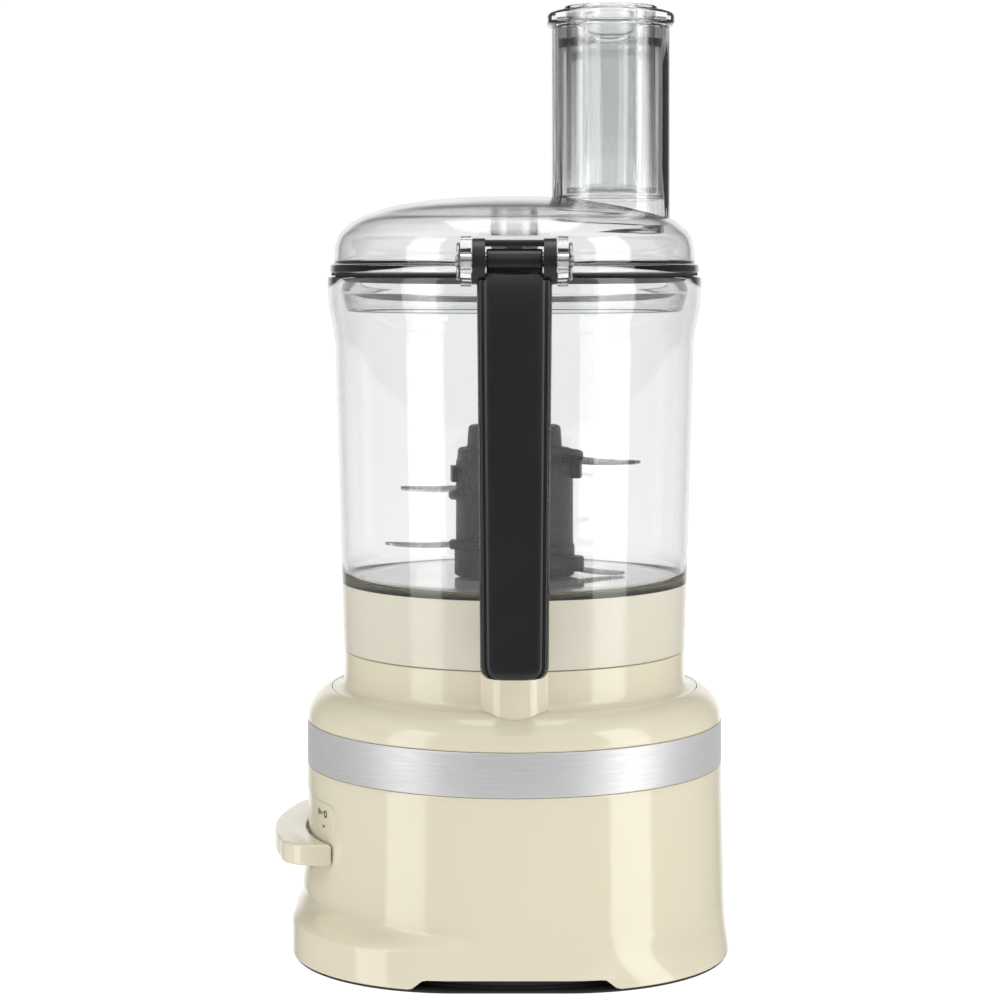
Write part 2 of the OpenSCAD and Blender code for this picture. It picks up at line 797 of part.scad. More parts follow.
module blade_hub() {
    color([0.27, 0.27, 0.27]) difference() {
        union() {
            translate([0, 0, 171]) cylinder(r = hub_r + 0.8, h = 14);
            translate([0, 0, 184]) cylinder(r = hub_r, h = 41);
            translate([0, 0, 224]) cylinder(r = hub_r - 0.5, h = 6);
            translate([0, 0, 229]) cylinder(r = hub_r - 5.3, h = hub_top - 229);
            // collars that hold the blades
            rotate(-20) holder(33, 226.5, 230.5, 70);
            rotate(160) holder(31, 206, 220.5, 60);
            rotate(180) holder(30, 181, 189, 70);
            rotate(0) holder(33, 173, 187.5, 60);
        }
        translate([0, 0, 160]) cylinder(r = 15.4, h = 56.4);
        translate([0, 0, 200]) cylinder(r = 8.3, h = 24);
        for (b = blade_rows) blade_slot(b);
    }
}

module holder(r, z0, z1, spread) {
    intersection() {
        translate([0, 0, z0]) cylinder(r = r, h = z1 - z0);
        linear_extrude(400) polygon([[0, 0], [60, -60 * tan(spread / 2)], [60, 60 * tan(spread / 2)]]);
    }
}

// turn about the drive axis, height, reach, droop of the blade
blade_rows = [[-20, 227, 61, 3], [160, 211.5, 57, 2], [180, 185, 61, 0], [0, 178, 53, 8]];

module blade_outline(reach, root) {
    polygon(concat([[root, -12], [root + 8, -12.5]], arc(reach - 25, 8, 25, -62, 10, 8),
        arc(reach - 36, 4, 34, 12, 62, 6), [[root, 12]]));
}

module blade_slot(b) {
    rotate(b[0]) translate([0, 0, b[1]]) rotate([0, b[3], 0])
        translate([0, 0, -0.02]) linear_extrude(blade_t + 0.04) blade_outline(b[2] * blade_reach / 61, 19);
}

module blades() {
    color([0.80, 0.81, 0.82]) for (b = blade_rows)
        rotate(b[0]) translate([0, 0, b[1]]) rotate([0, b[3], 0])
            linear_extrude(blade_t) blade_outline(b[2] * blade_reach / 61, 19.2);
}

base_housing();
steel_band();
shoulder_cover();
bowl_seat();
bottom_plate();
foot_ring();
base_screws();
motor_plate();
motor_can();
field_magnets();
motor_end_cap();
carbon_brushes();
armature();
commutator();
motor_shaft();
cooling_fan();
small_pulley();
drive_belt();
large_pulley();
drive_shaft();
shaft_bearings();
bearing_tube();
shaft_seal();
control_board();
speed_switch();
lever_bracket();
lever_pivot();
legend_plate();
control_lever();
cord_inlet();
interlock_switch();
bowl_shell();
handle_frame();
handle_cover();
handle_back();
hinge_barrel();
interlock_slider();
lid_shell();
feed_tube();
lid_gasket();
hinge_yoke();
hinge_pin();
hinge_clips();
lid_latch();
latch_pin();
large_pusher();
medium_pusher();
small_pusher();
drive_adapter();
blade_hub();
blades();
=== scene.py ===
"""The food processor's visual model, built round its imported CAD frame. Profiles are in millimetres."""
import json
import math

import bmesh
import bpy
from mathutils import Matrix, Vector

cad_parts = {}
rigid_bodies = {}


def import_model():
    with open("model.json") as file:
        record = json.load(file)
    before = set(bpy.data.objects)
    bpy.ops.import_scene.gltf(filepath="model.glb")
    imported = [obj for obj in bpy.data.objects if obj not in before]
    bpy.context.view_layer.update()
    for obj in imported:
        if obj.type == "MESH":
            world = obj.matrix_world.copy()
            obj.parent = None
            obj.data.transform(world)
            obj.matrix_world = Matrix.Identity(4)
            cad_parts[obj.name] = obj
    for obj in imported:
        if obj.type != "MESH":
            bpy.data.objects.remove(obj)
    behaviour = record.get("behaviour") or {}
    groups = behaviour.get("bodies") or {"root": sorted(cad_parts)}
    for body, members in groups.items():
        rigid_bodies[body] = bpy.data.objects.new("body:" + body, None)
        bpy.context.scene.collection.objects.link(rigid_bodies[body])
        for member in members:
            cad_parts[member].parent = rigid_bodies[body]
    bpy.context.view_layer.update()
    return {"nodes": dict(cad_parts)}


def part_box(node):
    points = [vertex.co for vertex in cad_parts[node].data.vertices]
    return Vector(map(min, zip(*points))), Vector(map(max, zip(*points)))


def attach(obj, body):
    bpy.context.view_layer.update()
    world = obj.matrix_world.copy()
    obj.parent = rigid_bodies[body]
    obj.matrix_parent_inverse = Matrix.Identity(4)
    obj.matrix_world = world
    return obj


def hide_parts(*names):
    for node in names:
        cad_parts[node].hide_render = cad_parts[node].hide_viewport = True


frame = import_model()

MM = 0.001
SMOOTH_ANGLE = math.radians(32)
FOOT_CORNER = 76.0                        # corner radius of the squarish foot, in millimetres


def corners(node):
    """The lowest and highest corner of a CAD node, in millimetres."""
    low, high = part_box(node)
    return Vector(low) / MM, Vector(high) / MM


# -------- anchors from the frame
band_low, band_high = corners("steel_band")
housing_low, housing_high = corners("base_housing")
bowl_low, bowl_high = corners("bowl_shell")
tube_low, tube_high = corners("feed_tube")
lid_high = corners("lid_shell")[1]
cover_low, cover_high = corners("handle_cover")
barrel_low, barrel_high = corners("hinge_barrel")
lever_low, lever_high = corners("control_lever")
legend_low, legend_high = corners("legend_plate")
seat_high = corners("bowl_seat")[1]
hub_low, hub_high = corners("blade_hub")
BASE_R = band_high.x                      # radius of the base at the band
BAND_Z0, BAND_Z1 = band_low.z - 0.1, band_high.z + 0.1
RIM_Z = bowl_high.z                       # height of the bowl's rim
FOOT_Z = bowl_low.z                       # height of the bowl's lower edge
RIM_R = bowl_high.x
LID_Z = RIM_Z + 1.8                       # underside of the lid's flange
TUBE_X = (tube_low.x + tube_high.x) / 2
TUBE_W = tube_high.x - tube_low.x
TUBE_STRAIGHT = (tube_high.y - tube_low.y) - TUBE_W
TUBE_TOP = tube_high.z
DOME_TOP = lid_high.z
HINGE = Vector((0, (barrel_low.y + barrel_high.y) / 2, (barrel_low.z + barrel_high.z) / 2))
GRIP_Y = cover_low.y
LATCH = Vector((0, 92.5, corners("latch_pin")[1].z - 1.5))
LEVER_PIVOT = (-62, 50)                   # X and Z of the lever's axis
WALL = 2.5                                # thickness of the bowl and the lid
TUBE_WALL = 2.4
PUSHER_GAP = 0.4                          # clearance round the outer pusher
GRIP_LOW, GRIP_HIGH = 14.05, 15.6         # half the handle's width at its foot and at its top
GRIP_CORNER = 5.5
BAND_INSET = 1.35                         # thickness of the steel band
YOKE_R = 9.9                              # the hinge's black discs
EAR_R = 10.8                              # the hinge's clear discs
FLANGE_R = 86.5                           # outer radius of the lid's flange
DOME_R = 84.6                             # radius of the lid's dome, just above the flange


# -------- node materials
class Shader:
    """A small helper that builds one Principled material from nodes."""

    def __init__(self, name, color, **sockets):
        self.material = bpy.data.materials.new(name)
        self.material.use_nodes = True
        self.tree = self.material.node_tree
        self.nodes = self.tree.nodes
        self.links = self.tree.links
        self.bsdf = self.nodes["Principled BSDF"]
        self.color = color
        self.bsdf.inputs["Base Color"].default_value = (*color, 1)
        for socket, value in sockets.items():
            self.bsdf.inputs[socket.replace("_", " ")].default_value = value

    def add(self, kind, **settings):
        node = self.nodes.new(kind)
        for key, value in settings.items():
            if key in node.inputs:
                node.inputs[key].default_value = value
            else:
                setattr(node, key, value)
        return node

    def link(self, source, target):
        self.links.new(source, target)

    def coordinates(self, scale=(1, 1, 1)):
        """Object coordinates in metres, scaled along each axis."""
        place = self.add("ShaderNodeTexCoord")
        mapping = self.add("ShaderNodeMapping")
        mapping.inputs["Scale"].default_value = scale
        self.link(place.outputs["Object"], mapping.inputs["Vector"])
        return mapping.outputs["Vector"]

    def noise(self, scale, detail=3.0, vector=None, roughness=0.5):
        node = self.add("ShaderNodeTexNoise", Scale=scale, Detail=detail, Roughness=roughness)
        self.link(vector or self.coordinates(), node.inputs["Vector"])
        return node.outputs["Fac"]

    def ramp(self, source, low, high, start=0.3, end=0.7):
        node = self.add("ShaderNodeMapRange")
        for socket, value in zip(("From Min", "From Max", "To Min", "To Max"), (start, end, low, high)):
            node.inputs[socket].default_value = value
        self.link(source, node.inputs["Value"])
        return node.outputs["Result"]

    def mottle(self, source, other, start=0.3, end=0.7):
        """Blends the base colour towards another one where the source is high."""
        mix = self.add("ShaderNodeMix", data_type="RGBA")
        mix.inputs["A"].default_value = (*self.color, 1)
        mix.inputs["B"].default_value = (*other, 1)
        self.link(self.ramp(source, 0, 1, start, end), mix.inputs["Factor"])
        self.link(mix.outputs["Result"], self.bsdf.inputs["Base Color"])

    def rough(self, source, low, high, start=0.3, end=0.7):
        self.link(self.ramp(source, low, high, start, end), self.bsdf.inputs["Roughness"])

    def bump(self, source, strength, distance):
        node = self.add("ShaderNodeBump", Strength=strength, Distance=distance)
        self.link(source, node.inputs["Height"])
        self.link(node.outputs["Normal"], self.bsdf.inputs["Normal"])


def cream_gloss():
    shader = Shader("cream_gloss", (0.76, 0.70, 0.54), Roughness=0.13, Specular_IOR_Level=0.5,
                    Coat_Weight=0.35, Coat_Roughness=0.04, Subsurface_Weight=0.0)
    shader.mottle(shader.noise(9.0, 2.0), (0.745, 0.685, 0.52))
    shader.rough(shader.noise(55.0, 4.0), 0.10, 0.17)
    shader.bump(shader.noise(240.0, 2.0), 0.05, 0.0004)
    return shader.material


def brushed_steel():
    shader = Shader("brushed_steel", (0.80, 0.80, 0.80), Metallic=0.55, Anisotropic=0.3,
                    Specular_IOR_Level=0.5)
    place = shader.add("ShaderNodeTexCoord")
    split = shader.add("ShaderNodeSeparateXYZ")
    shader.link(place.outputs["Object"], split.inputs[0])
    turn = shader.add("ShaderNodeMath", operation="ARCTAN2")
    shader.link(split.outputs["Y"], turn.inputs[0])
    shader.link(split.outputs["X"], turn.inputs[1])
    join = shader.add("ShaderNodeCombineXYZ")
    for source, factor, target in ((turn.outputs[0], 5.0, "X"), (split.outputs["Z"], 2600.0, "Y")):
        scaled = shader.add("ShaderNodeMath", operation="MULTIPLY")
        scaled.inputs[1].default_value = factor
        shader.link(source, scaled.inputs[0])
        shader.link(scaled.outputs[0], join.inputs[target])
    grain = shader.noise(1.0, 3.0, join.outputs[0], 0.65)
    shader.mottle(grain, (0.66, 0.66, 0.665), 0.35, 0.75)
    shader.rough(grain, 0.38, 0.48)
    shader.bump(grain, 0.12, 0.0001)
    tangent = shader.add("ShaderNodeTangent", direction_type="RADIAL", axis="Z")
    shader.link(tangent.outputs[0], shader.bsdf.inputs["Tangent"])
    return shader.material


def clear_plastic(name, tint):
    shader = Shader(name, tint, Transmission_Weight=1.0, IOR=1.57, Specular_IOR_Level=0.5)
    shader.rough(shader.noise(30.0, 5.0), 0.012, 0.03)
    shader.bump(shader.noise(18.0, 1.0), 0.04, 0.0006)
    return shader.material


def frosted_plastic():
    """The bowl's skirt: a cream-tinted, translucent plastic with a satin skin."""
    shader = Shader("frosted_plastic", (0.93, 0.88, 0.74), Transmission_Weight=0.28, IOR=1.57)
    shader.rough(shader.noise(60.0, 4.0), 0.12, 0.20)
    shader.bump(shader.noise(900.0, 2.0), 0.10, 0.0002)
    return shader.material


def pearl_plastic():
    """The bowl's floor, which shows the cream drum below it under a glossy skin."""
    shader = Shader("pearl_plastic", (0.97, 0.95, 0.87), Metallic=0.25, Coat_Weight=1.0, Coat_Roughness=0.05)
    shader.mottle(shader.noise(20.0, 3.0), (0.95, 0.93, 0.84))
    shader.rough(shader.noise(60.0, 4.0), 0.16, 0.26)
    return shader.material


def satin_black():
    shader = Shader("satin_black", (0.010, 0.010, 0.011), Specular_IOR_Level=0.5)
    shader.mottle(shader.noise(25.0, 3.0), (0.013, 0.013, 0.014))
    shader.rough(shader.noise(70.0, 4.0), 0.26, 0.36)
    shader.bump(shader.noise(2200.0, 2.0), 0.10, 0.00012)
    return shader.material


def textured_grey():
    """Dark moulded plastic with a coarse spark-eroded texture."""
    shader = Shader("textured_grey", (0.010, 0.010, 0.011), Specular_IOR_Level=0.4)
    pits = shader.noise(420.0, 4.0, None, 0.6)
    shader.mottle(pits, (0.04, 0.04, 0.042), 0.45, 0.68)
    shader.rough(pits, 0.30, 0.50)
    shader.bump(pits, 0.85, 0.0016)
    return shader.material


def rubber():
    shader = Shader("soft_rubber", (0.022, 0.022, 0.024), Specular_IOR_Level=0.35)
    shader.mottle(shader.noise(80.0, 4.0), (0.033, 0.033, 0.036))
    shader.rough(shader.noise(300.0, 3.0), 0.55, 0.75)
    shader.bump(shader.noise(1500.0, 2.0), 0.15, 0.0002)
    return shader.material


def moulded(name, color, low=0.30, high=0.45):
    """Plain moulded plastic with a fine grain."""
    shader = Shader(name, color, Specular_IOR_Level=0.5)
    shader.mottle(shader.noise(35.0, 3.0), tuple(value * 0.88 for value in color))
    shader.rough(shader.noise(90.0, 3.0), low, high)
    shader.bump(shader.noise(1800.0, 2.0), 0.12, 0.0002)
    return shader.material


def metal(name, color, low=0.18, high=0.32, stretch=(40, 40, 900), edge=1.0):
    """Turned or rolled metal with fine lines across one axis."""
    shader = Shader(name, color, Metallic=1.0)
    shader.bsdf.inputs["Specular Tint"].default_value = (edge, edge, edge, 1)
    grain = shader.noise(1.0, 4.0, shader.coordinates(stretch))
    shader.mottle(grain, tuple(value * 0.78 for value in color))
    shader.rough(grain, low, high)
    shader.bump(grain, 0.10, 0.0001)
    return shader.material


MATERIALS = {
    "cream": cream_gloss(),
    "band": brushed_steel(),
    "clear": clear_plastic("clear_plastic", (0.90, 0.905, 0.905)),
    "thin": clear_plastic("clear_thin", (0.975, 0.98, 0.98)),
    "frost": frosted_plastic(),
    "pearl": pearl_plastic(),
    "black": satin_black(),
    "hub": textured_grey(),
    "rubber": rubber(),
    "dark": moulded("dark_moulding", (0.035, 0.035, 0.037)),
    "nylon": moulded("pale_nylon", (0.78, 0.78, 0.75), 0.22, 0.34),
    "board": moulded("circuit_board", (0.02, 0.16, 0.06), 0.25, 0.4),
    "magnet": moulded("magnet_ferrite", (0.05, 0.05, 0.055), 0.5, 0.7),
    "steel": metal("turned_steel", (0.62, 0.62, 0.63)),
    "plate": metal("zinc_plate", (0.55, 0.56, 0.57), 0.3, 0.45, (120, 120, 120)),
    "can": metal("motor_can", (0.40, 0.41, 0.43), 0.32, 0.45, (60, 60, 500)),
    "copper": metal("copper_winding", (0.75, 0.38, 0.20), 0.25, 0.4, (300, 300, 80)),
    "blade": metal("blade_steel", (0.50, 0.50, 0.51), 0.20, 0.32, (700, 60, 60), 0.45),
    "ink": moulded("legend_ink", (0.06, 0.06, 0.06), 0.4, 0.5),
}


# -------- mesh tools
def make_object(name, mesh_builder, material, body, nodes=(), slot=None):
    """Turns a bmesh into a piece that rides on a body and stands for CAD nodes."""
    mesh = bpy.data.meshes.new(name)
    bmesh.ops.recalc_face_normals(mesh_builder, faces=mesh_builder.faces)
    mesh_builder.to_mesh(mesh)
    mesh_builder.free()
    piece = bpy.data.objects.new(name, mesh)
    bpy.context.scene.collection.objects.link(piece)
    for key in material if isinstance(material, (list, tuple)) else [material]:
        mesh.materials.append(MATERIALS[key])
    shade(piece)
    return settle(piece, body, nodes)


def shade(piece, angle=SMOOTH_ANGLE):
    for face in piece.data.polygons:
        face.use_smooth = True
    piece.data.set_sharp_from_angle(angle=angle)


def settle(piece, body, nodes=()):
    if body:
        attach(piece, body)
    if nodes:
        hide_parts(*nodes)
    return piece


def apply_modifiers(piece):
    graph = bpy.context.evaluated_depsgraph_get()
    mesh = bpy.data.meshes.new_from_object(piece.evaluated_get(graph), depsgraph=graph)
    piece.modifiers.clear()
    piece.data = mesh
    return piece


def bevel(piece, width, segments=3, angle=30):
    modifier = piece.modifiers.new("bevel", "BEVEL")
    modifier.width = width * MM
    modifier.segments = segments
    modifier.limit_method = "ANGLE"
    modifier.angle_limit = math.radians(angle)
    modifier.harden_normals = False
    apply_modifiers(piece)
    shade(piece)
    return piece


def boolean(piece, tool, operation="DIFFERENCE"):
    """Cuts or joins with a tool, which is an object or a bare mesh and is used up."""
    if isinstance(tool, bmesh.types.BMesh):
        tool = temporary(tool)
    modifier = piece.modifiers.new("cut", "BOOLEAN")
    modifier.operation = operation
    modifier.object = tool
    modifier.solver = "EXACT"
    apply_modifiers(piece)
    bpy.data.objects.remove(tool, do_unlink=True)
    shade(piece)
    return piece


def fillet(points, steps=5, closed=True):
    """Rounds the corners of an outline. Each point is (x, y) or (x, y, radius)."""
    result = []
    count = len(points)
    for i, point in enumerate(points):
        here = Vector(point[:2])
        radius = point[2] if len(point) > 2 else 0
        if radius <= 0 or (not closed and i in (0, count - 1)):
            result.append(tuple(here))
            continue
        before = Vector(points[i - 1][:2]) - here
        after = Vector(points[(i + 1) % count][:2]) - here
        half = before.angle(after) / 2
        reach = min(radius / max(math.tan(half), 1e-6), before.length * 0.49, after.length * 0.49)
        start = here + before.normalized() * reach
        end = here + after.normalized() * reach
        for k in range(steps + 1):
            t = k / steps
            result.append(tuple(start * (1 - t) ** 2 + here * 2 * t * (1 - t) + end * t * t))
    return result


def spline(points, steps=8):
    """A smooth open curve through the points."""
    result = []
    for i in range(len(points) - 1):
        p1, p2 = Vector(points[i]), Vector(points[i + 1])
        p0 = Vector(points[i - 1]) if i else p1 * 2 - p2
        p3 = Vector(points[i + 2]) if i + 2 < len(points) else p2 * 2 - p1
        for k in range(steps):
            t = k / steps
            result.append(tuple(0.5 * (2 * p1 + (p2 - p0) * t + (2 * p0 - 5 * p1 + 4 * p2 - p3) * t ** 2
                                       + (3 * p1 - p0 - 3 * p2 + p3) * t ** 3)))
    result.append(tuple(points[-1]))
    return result


def lathe_mesh(profile, segments=160, warp=None, closed=True):
    """Revolves a (radius, height) outline about the drive axis. warp moves a point by its angle."""
    builder = bmesh.new()
    rings = []
    for radius, height in profile:
        if radius < 1e-6:
            rings.append([builder.verts.new((0, 0, height * MM))])
            continue
        ring = []
        for k in range(segments):
            angle = 2 * math.pi * k / segments
            r, z = warp(radius, height, angle) if warp else (radius, height)
            ring.append(builder.verts.new((r * math.cos(angle) * MM, r * math.sin(angle) * MM, z * MM)))
        rings.append(ring)
    pairs = list(zip(rings, rings[1:]))
    if closed and len(rings[0]) > 1 and len(rings[-1]) > 1:
        pairs.append((rings[-1], rings[0]))
    for low, high in pairs:
        if len(low) == 1 and len(high) == 1:
            continue
        for k in range(segments):
            n = (k + 1) % segments
            if len(low) == 1:
                builder.faces.new((low[0], high[k], high[n]))
            elif len(high) == 1:
                builder.faces.new((low[k], low[n], high[0]))
            else:
                builder.faces.new((low[k], low[n], high[n], high[k]))
    return builder


def lathe(name, profile, material, body, nodes=(), slot=None, segments=160, warp=None):
    return make_object(name, lathe_mesh(profile, segments, warp), material, body, nodes, slot)


def prism_mesh(outline, low, high, axis="z"):
    """Extrudes an outline between two heights along an axis, keeping it right-handed."""
    spin = {"x": lambda u, v, w: (w, u, v), "y": lambda u, v, w: (u, -w, v),
            "z": lambda u, v, w: (u, v, w)}[axis]
    builder = bmesh.new()
    if axis == "y":
        low, high = -high, -low
    rings = [[builder.verts.new(Vector(spin(u, v, w)) * MM) for u, v in outline] for w in (low, high)]
    count = len(outline)
    builder.faces.new(list(reversed(rings[0])))
    builder.faces.new(rings[1])
    for k in range(count):
        n = (k + 1) % count
        builder.faces.new((rings[0][k], rings[0][n], rings[1][n], rings[1][k]))
    return builder


def prism(name, outline, low, high, material, body, axis="z", **options):
    return make_object(name, prism_mesh(outline, low, high, axis), material, body, **options)


def box_mesh(low, high):
    outline = [(low[0], low[1]), (high[0], low[1]), (high[0], high[1]), (low[0], high[1])]
    return prism_mesh(outline, low[2], high[2])


def cylinder_outline(radius, center=(0, 0), steps=48):
    return [(center[0] + radius * math.cos(2 * math.pi * k / steps),
             center[1] + radius * math.sin(2 * math.pi * k / steps)) for k in range(steps)]


def skin(builder, rings):
    """Joins each ring of vertices to the next one."""
    for a, b in zip(rings, rings[1:]):
        for k in range(len(a)):
            n = (k + 1) % len(a)
            builder.faces.new((a[k], a[n], b[n], b[k]))


def cap(builder, first, last):
    builder.faces.new(first)
    builder.faces.new(list(reversed(last)))


def rod(radius, x0, x1, center=None, steps=48):
    """A boolean's tool: a rod along X, on the lid's hinge unless another centre is given."""
    center = center or HINGE
    return temporary(prism_mesh(cylinder_outline(radius, (center.y, center.z), steps), x0, x1, "x"))


def stadium(width):
    """An outline with two round ends, long along Y and centred on the feed tube."""
    outline, steps = [], 24
    for sign in (1, -1):
        for k in range(steps + 1):
            angle = math.pi * k / steps + (0 if sign > 0 else math.pi)
            outline.append((TUBE_X + width / 2 * math.cos(angle),
                            sign * TUBE_STRAIGHT / 2 + width / 2 * math.sin(angle)))
    return outline


def stadium_loft(profile):
    """Sweeps a (half-width, height) outline round the feed tube's stadium."""
    builder = bmesh.new()
    rings = []
    for half, height in profile:
        rings.append([builder.verts.new((x * MM, y * MM, height * MM))
                      for x, y in stadium(2 * half)])
    skin(builder, rings + rings[:1])
    return builder


def temporary(builder):
    """A tool for a boolean, which is never seen."""
    mesh = bpy.data.meshes.new("tool")
    bmesh.ops.recalc_face_normals(builder, faces=builder.faces)
    builder.to_mesh(mesh)
    builder.free()
    tool = bpy.data.objects.new("tool", mesh)
    bpy.context.scene.collection.objects.link(tool)
    return tool


def smoothstep(low, high, value):
    t = min(max((value - low) / (high - low), 0.0), 1.0)
    return t * t * (3 - 2 * t)


# -------- base
def housing_radius(z):
    """The plain radius of the housing, which widens steadily towards the foot."""
    return BASE_R + 0.1 + 1.7 * (1 - min(z / BAND_Z0, 1.0))


def foot_reach(angle, grow=0.0):
    """Distance from the axis to the edge of the squarish foot."""
    x, y = math.cos(angle), math.sin(angle)
    side = (housing_high.x if x > 0 else -housing_low.x) + grow
    front = housing_high.y + grow
    corner = FOOT_CORNER + grow
    along, across = abs(x), abs(y)
    if along * (front - corner) >= across * side:
        return side / along
    if across * (side - corner) >= along * front:
        return front / across
    toward = along * (side - corner) + across * (front - corner)
    off = along * (front - corner) - across * (side - corner)
    return toward + math.sqrt(corner ** 2 - off ** 2)


def housing_warp(radius, height, angle):
    """Adds the squarish foot, the seat of the lever and the arches in the rim."""
    x, y = math.cos(angle), math.sin(angle)
    if radius > BASE_R - 0.5:
        left = 1 - smoothstep(-20, 20, radius * x)
        flare = (1 - left) * (1 - smoothstep(0, 23, height)) + left * (1 - smoothstep(16.5, 25.2, height))
        radius += (foot_reach(angle) - housing_radius(height)) * flare
        if x < 0:
            middle = max(0.0, 1 - (radius * y / 57) ** 2)
            radius -= 1.4 * middle * smoothstep(35, 40, height) * (1 - smoothstep(71.6, 73.0, height))
            radius += 0.8 * middle * smoothstep(24.5, 28, height) * (1 - smoothstep(31, 36, height))
    top = 9.0
    if height < top:
        arch = (1 - smoothstep(38.8, 45.8, abs(radius * x))) * smoothstep(60, 80, abs(radius * y))
        height = top - (top - height) * (1 - arch * 4.4 / (top - housing_low.z))
    return radius, height


def build_base():
    low = housing_low.z
    heights = [low + 1.2, low + 2.6, 5.5, 7.5, 11, 15, *range(17, 31), 32, 36, 40, 46, 52, 58, 64, 68, 70, 71,
               71.8, 72.6, 73.4, 75, 79, BAND_Z0 - 0.8]
    outer = [(housing_radius(z), z) for z in heights]
    profile = [(BASE_R - 1.3, low + 0.3), (housing_radius(low) - 0.8, low),
               (housing_radius(low) - 0.2, low + 0.4)] + outer + [
        (BASE_R - 0.25, BAND_Z0 - 0.15), (BASE_R - 0.9, BAND_Z0), (BASE_R - 1.5, BAND_Z0),
        (BASE_R - 1.5, BAND_Z1 - 0.2), (BASE_R - 4, BAND_Z1 - 0.2), (BASE_R - 4.2, BAND_Z0),
        (BASE_R - 2.8, 40), (BASE_R - 2.4, 24),
        (BASE_R - 1.3, 17), (BASE_R - 1.3, 8)]
    housing = lathe("housing", profile, "cream", "base", ["base_housing"], "cream_plastic", 288, housing_warp)
    boolean(housing, box_mesh((-110, -28, 38.5), (-86, 28, 54.0)))

    lathe("brushed_band", fillet([(BASE_R - BAND_INSET, BAND_Z0 + 0.12), (BASE_R, BAND_Z0 + 0.12, 0.45),
                                  (BASE_R, BAND_Z1 - 0.12, 0.45), (BASE_R - BAND_INSET, BAND_Z1 - 0.12)], 4),
          "band", "base", ["steel_band"], "brushed_steel", 256)

    z = BAND_Z1
    shoulder = spline([(BASE_R - 0.15, z + 0.7), (BASE_R - 0.45, z + 3.6), (BASE_R - 1.7, z + 7),
                       (BASE_R - 3.9, z + 10.3), (BASE_R - 6.6, z + 12.9), (BASE_R - 9.4, z + 14.6),
                       (85.7, z + 15.25)], 5)
    profile = [(BASE_R - 3.4, z + 0.05), (BASE_R - 0.7, z + 0.05)] + shoulder + [
        (85.5, z + 15.0), (85.45, z + 13), (BASE_R - 10.2, z + 12.1), (BASE_R - 7.4, z + 9.8),
        (BASE_R - 5, z + 6.4), (BASE_R - 3.6, z + 2.6)]
    lathe("shoulder", profile, "cream", "base", ["shoulder_cover"], "cream_plastic", 256)
    build_seat(z)
    build_bottom()


def build_seat(z):
    neck_r, ledge, drum_r, top = 79.6, FOOT_Z - 0.4, 74.8, seat_high.z
    curve = spline([(85.3, z + 15.1), (83.2, z + 15.6), (81.2, z + 16.7), (80.1, z + 18.5),
                    (neck_r, z + 21.5)], 5)
    profile = curve + fillet([(neck_r, ledge - 4), (neck_r, ledge, 0.8), (drum_r + 0.4, ledge, 0.4),
                              (drum_r - 0.4, top, 2.4), (16.6, top, 0.6), (16.6, top - 2.8),
                              (drum_r - 3.4, top - 2.8), (drum_r - 3.2, ledge - 2.8),
                              (neck_r - 2.8, ledge - 2.8), (neck_r - 2.8, z + 16),
                              (78, z + 14.4), (85.0, z + 12.9)], 4, False)
    seat = lathe("bowl_seat_shell", profile, "cream", "base", ["bowl_seat"], "cream_plastic", 256)
    nose_r = 15.4
    nose = [(nose_r, -70)] + [(nose_r * math.cos(turn), -74.6 - nose_r * math.sin(turn))
                              for turn in (math.pi * k / 32 for k in range(33))] + [(-nose_r, -70)]
    tool = temporary(prism_mesh(nose, z + 9, 139.1))
    slope = [(0, z), (BASE_R, z), (BASE_R - 0.3, z + 3.7), (BASE_R - 1.5, z + 7.1), (BASE_R - 3.8, z + 10.45),
             (BASE_R - 6.5, z + 13.05), (BASE_R - 9.3, z + 14.8), (85.6, z + 15.4), (0, z + 15.4)]
    boolean(tool, lathe_mesh(slope, 128))
    boolean(tool, lathe_mesh([(0, 90), (78.4, 90), (78.4, 137), (0, 137)], 128))
    boolean(tool, lathe_mesh([(0, ledge), (81, ledge), (81, 160), (0, 160)], 128))
    boolean(seat, tool, "UNION")
    bore = prism_mesh(cylinder_outline(2.6, (0, -86), 24), 121, 150)
    boolean(seat, bore)


def build_bottom():
    tray = fillet([(0, 2.2), (BASE_R - 2.6, 2.2, 0.8), (BASE_R - 2.6, 5, 0.8), (0, 5)], 4)
    lathe("bottom_tray", tray[:-1] + [(0, 5)], "dark", "base", ["bottom_plate"],
          "dark_plastic", 128)

    # Painted contact shadow: widens the rubber pad's outer edge to 1.2 mm inside the squarish foot, so its
    # dark rim shows as a shadow line under the base.
    def contact_shadow_warp(radius, height, angle):
        return radius + (foot_reach(angle, -1.2) - BASE_R if radius > BASE_R - 1 else 0), height

    edge = housing_low.z - 0.2
    # The real rubber foot ring inside, plus a dark outer rim below the housing's edge that is a painted
    # contact shadow line.
    lathe("foot_pad", [(BASE_R - 13, 0.3), (BASE_R - 12.7, 0.0), (BASE_R - 0.4, 0.0), (BASE_R, 0.3),
                       (BASE_R, edge), (BASE_R - 2.7, edge), (BASE_R - 2.7, 2.18), (BASE_R - 13, 2.18)],
          "rubber", "base", ["foot_ring"], "rubber", 192, contact_shadow_warp)


# -------- control lever
def panel_radius(y):
    """The legend panel is a little flatter than the housing round it."""
    return BASE_R + 0.9 - 1.3 * (1 - (y / 54) ** 2)


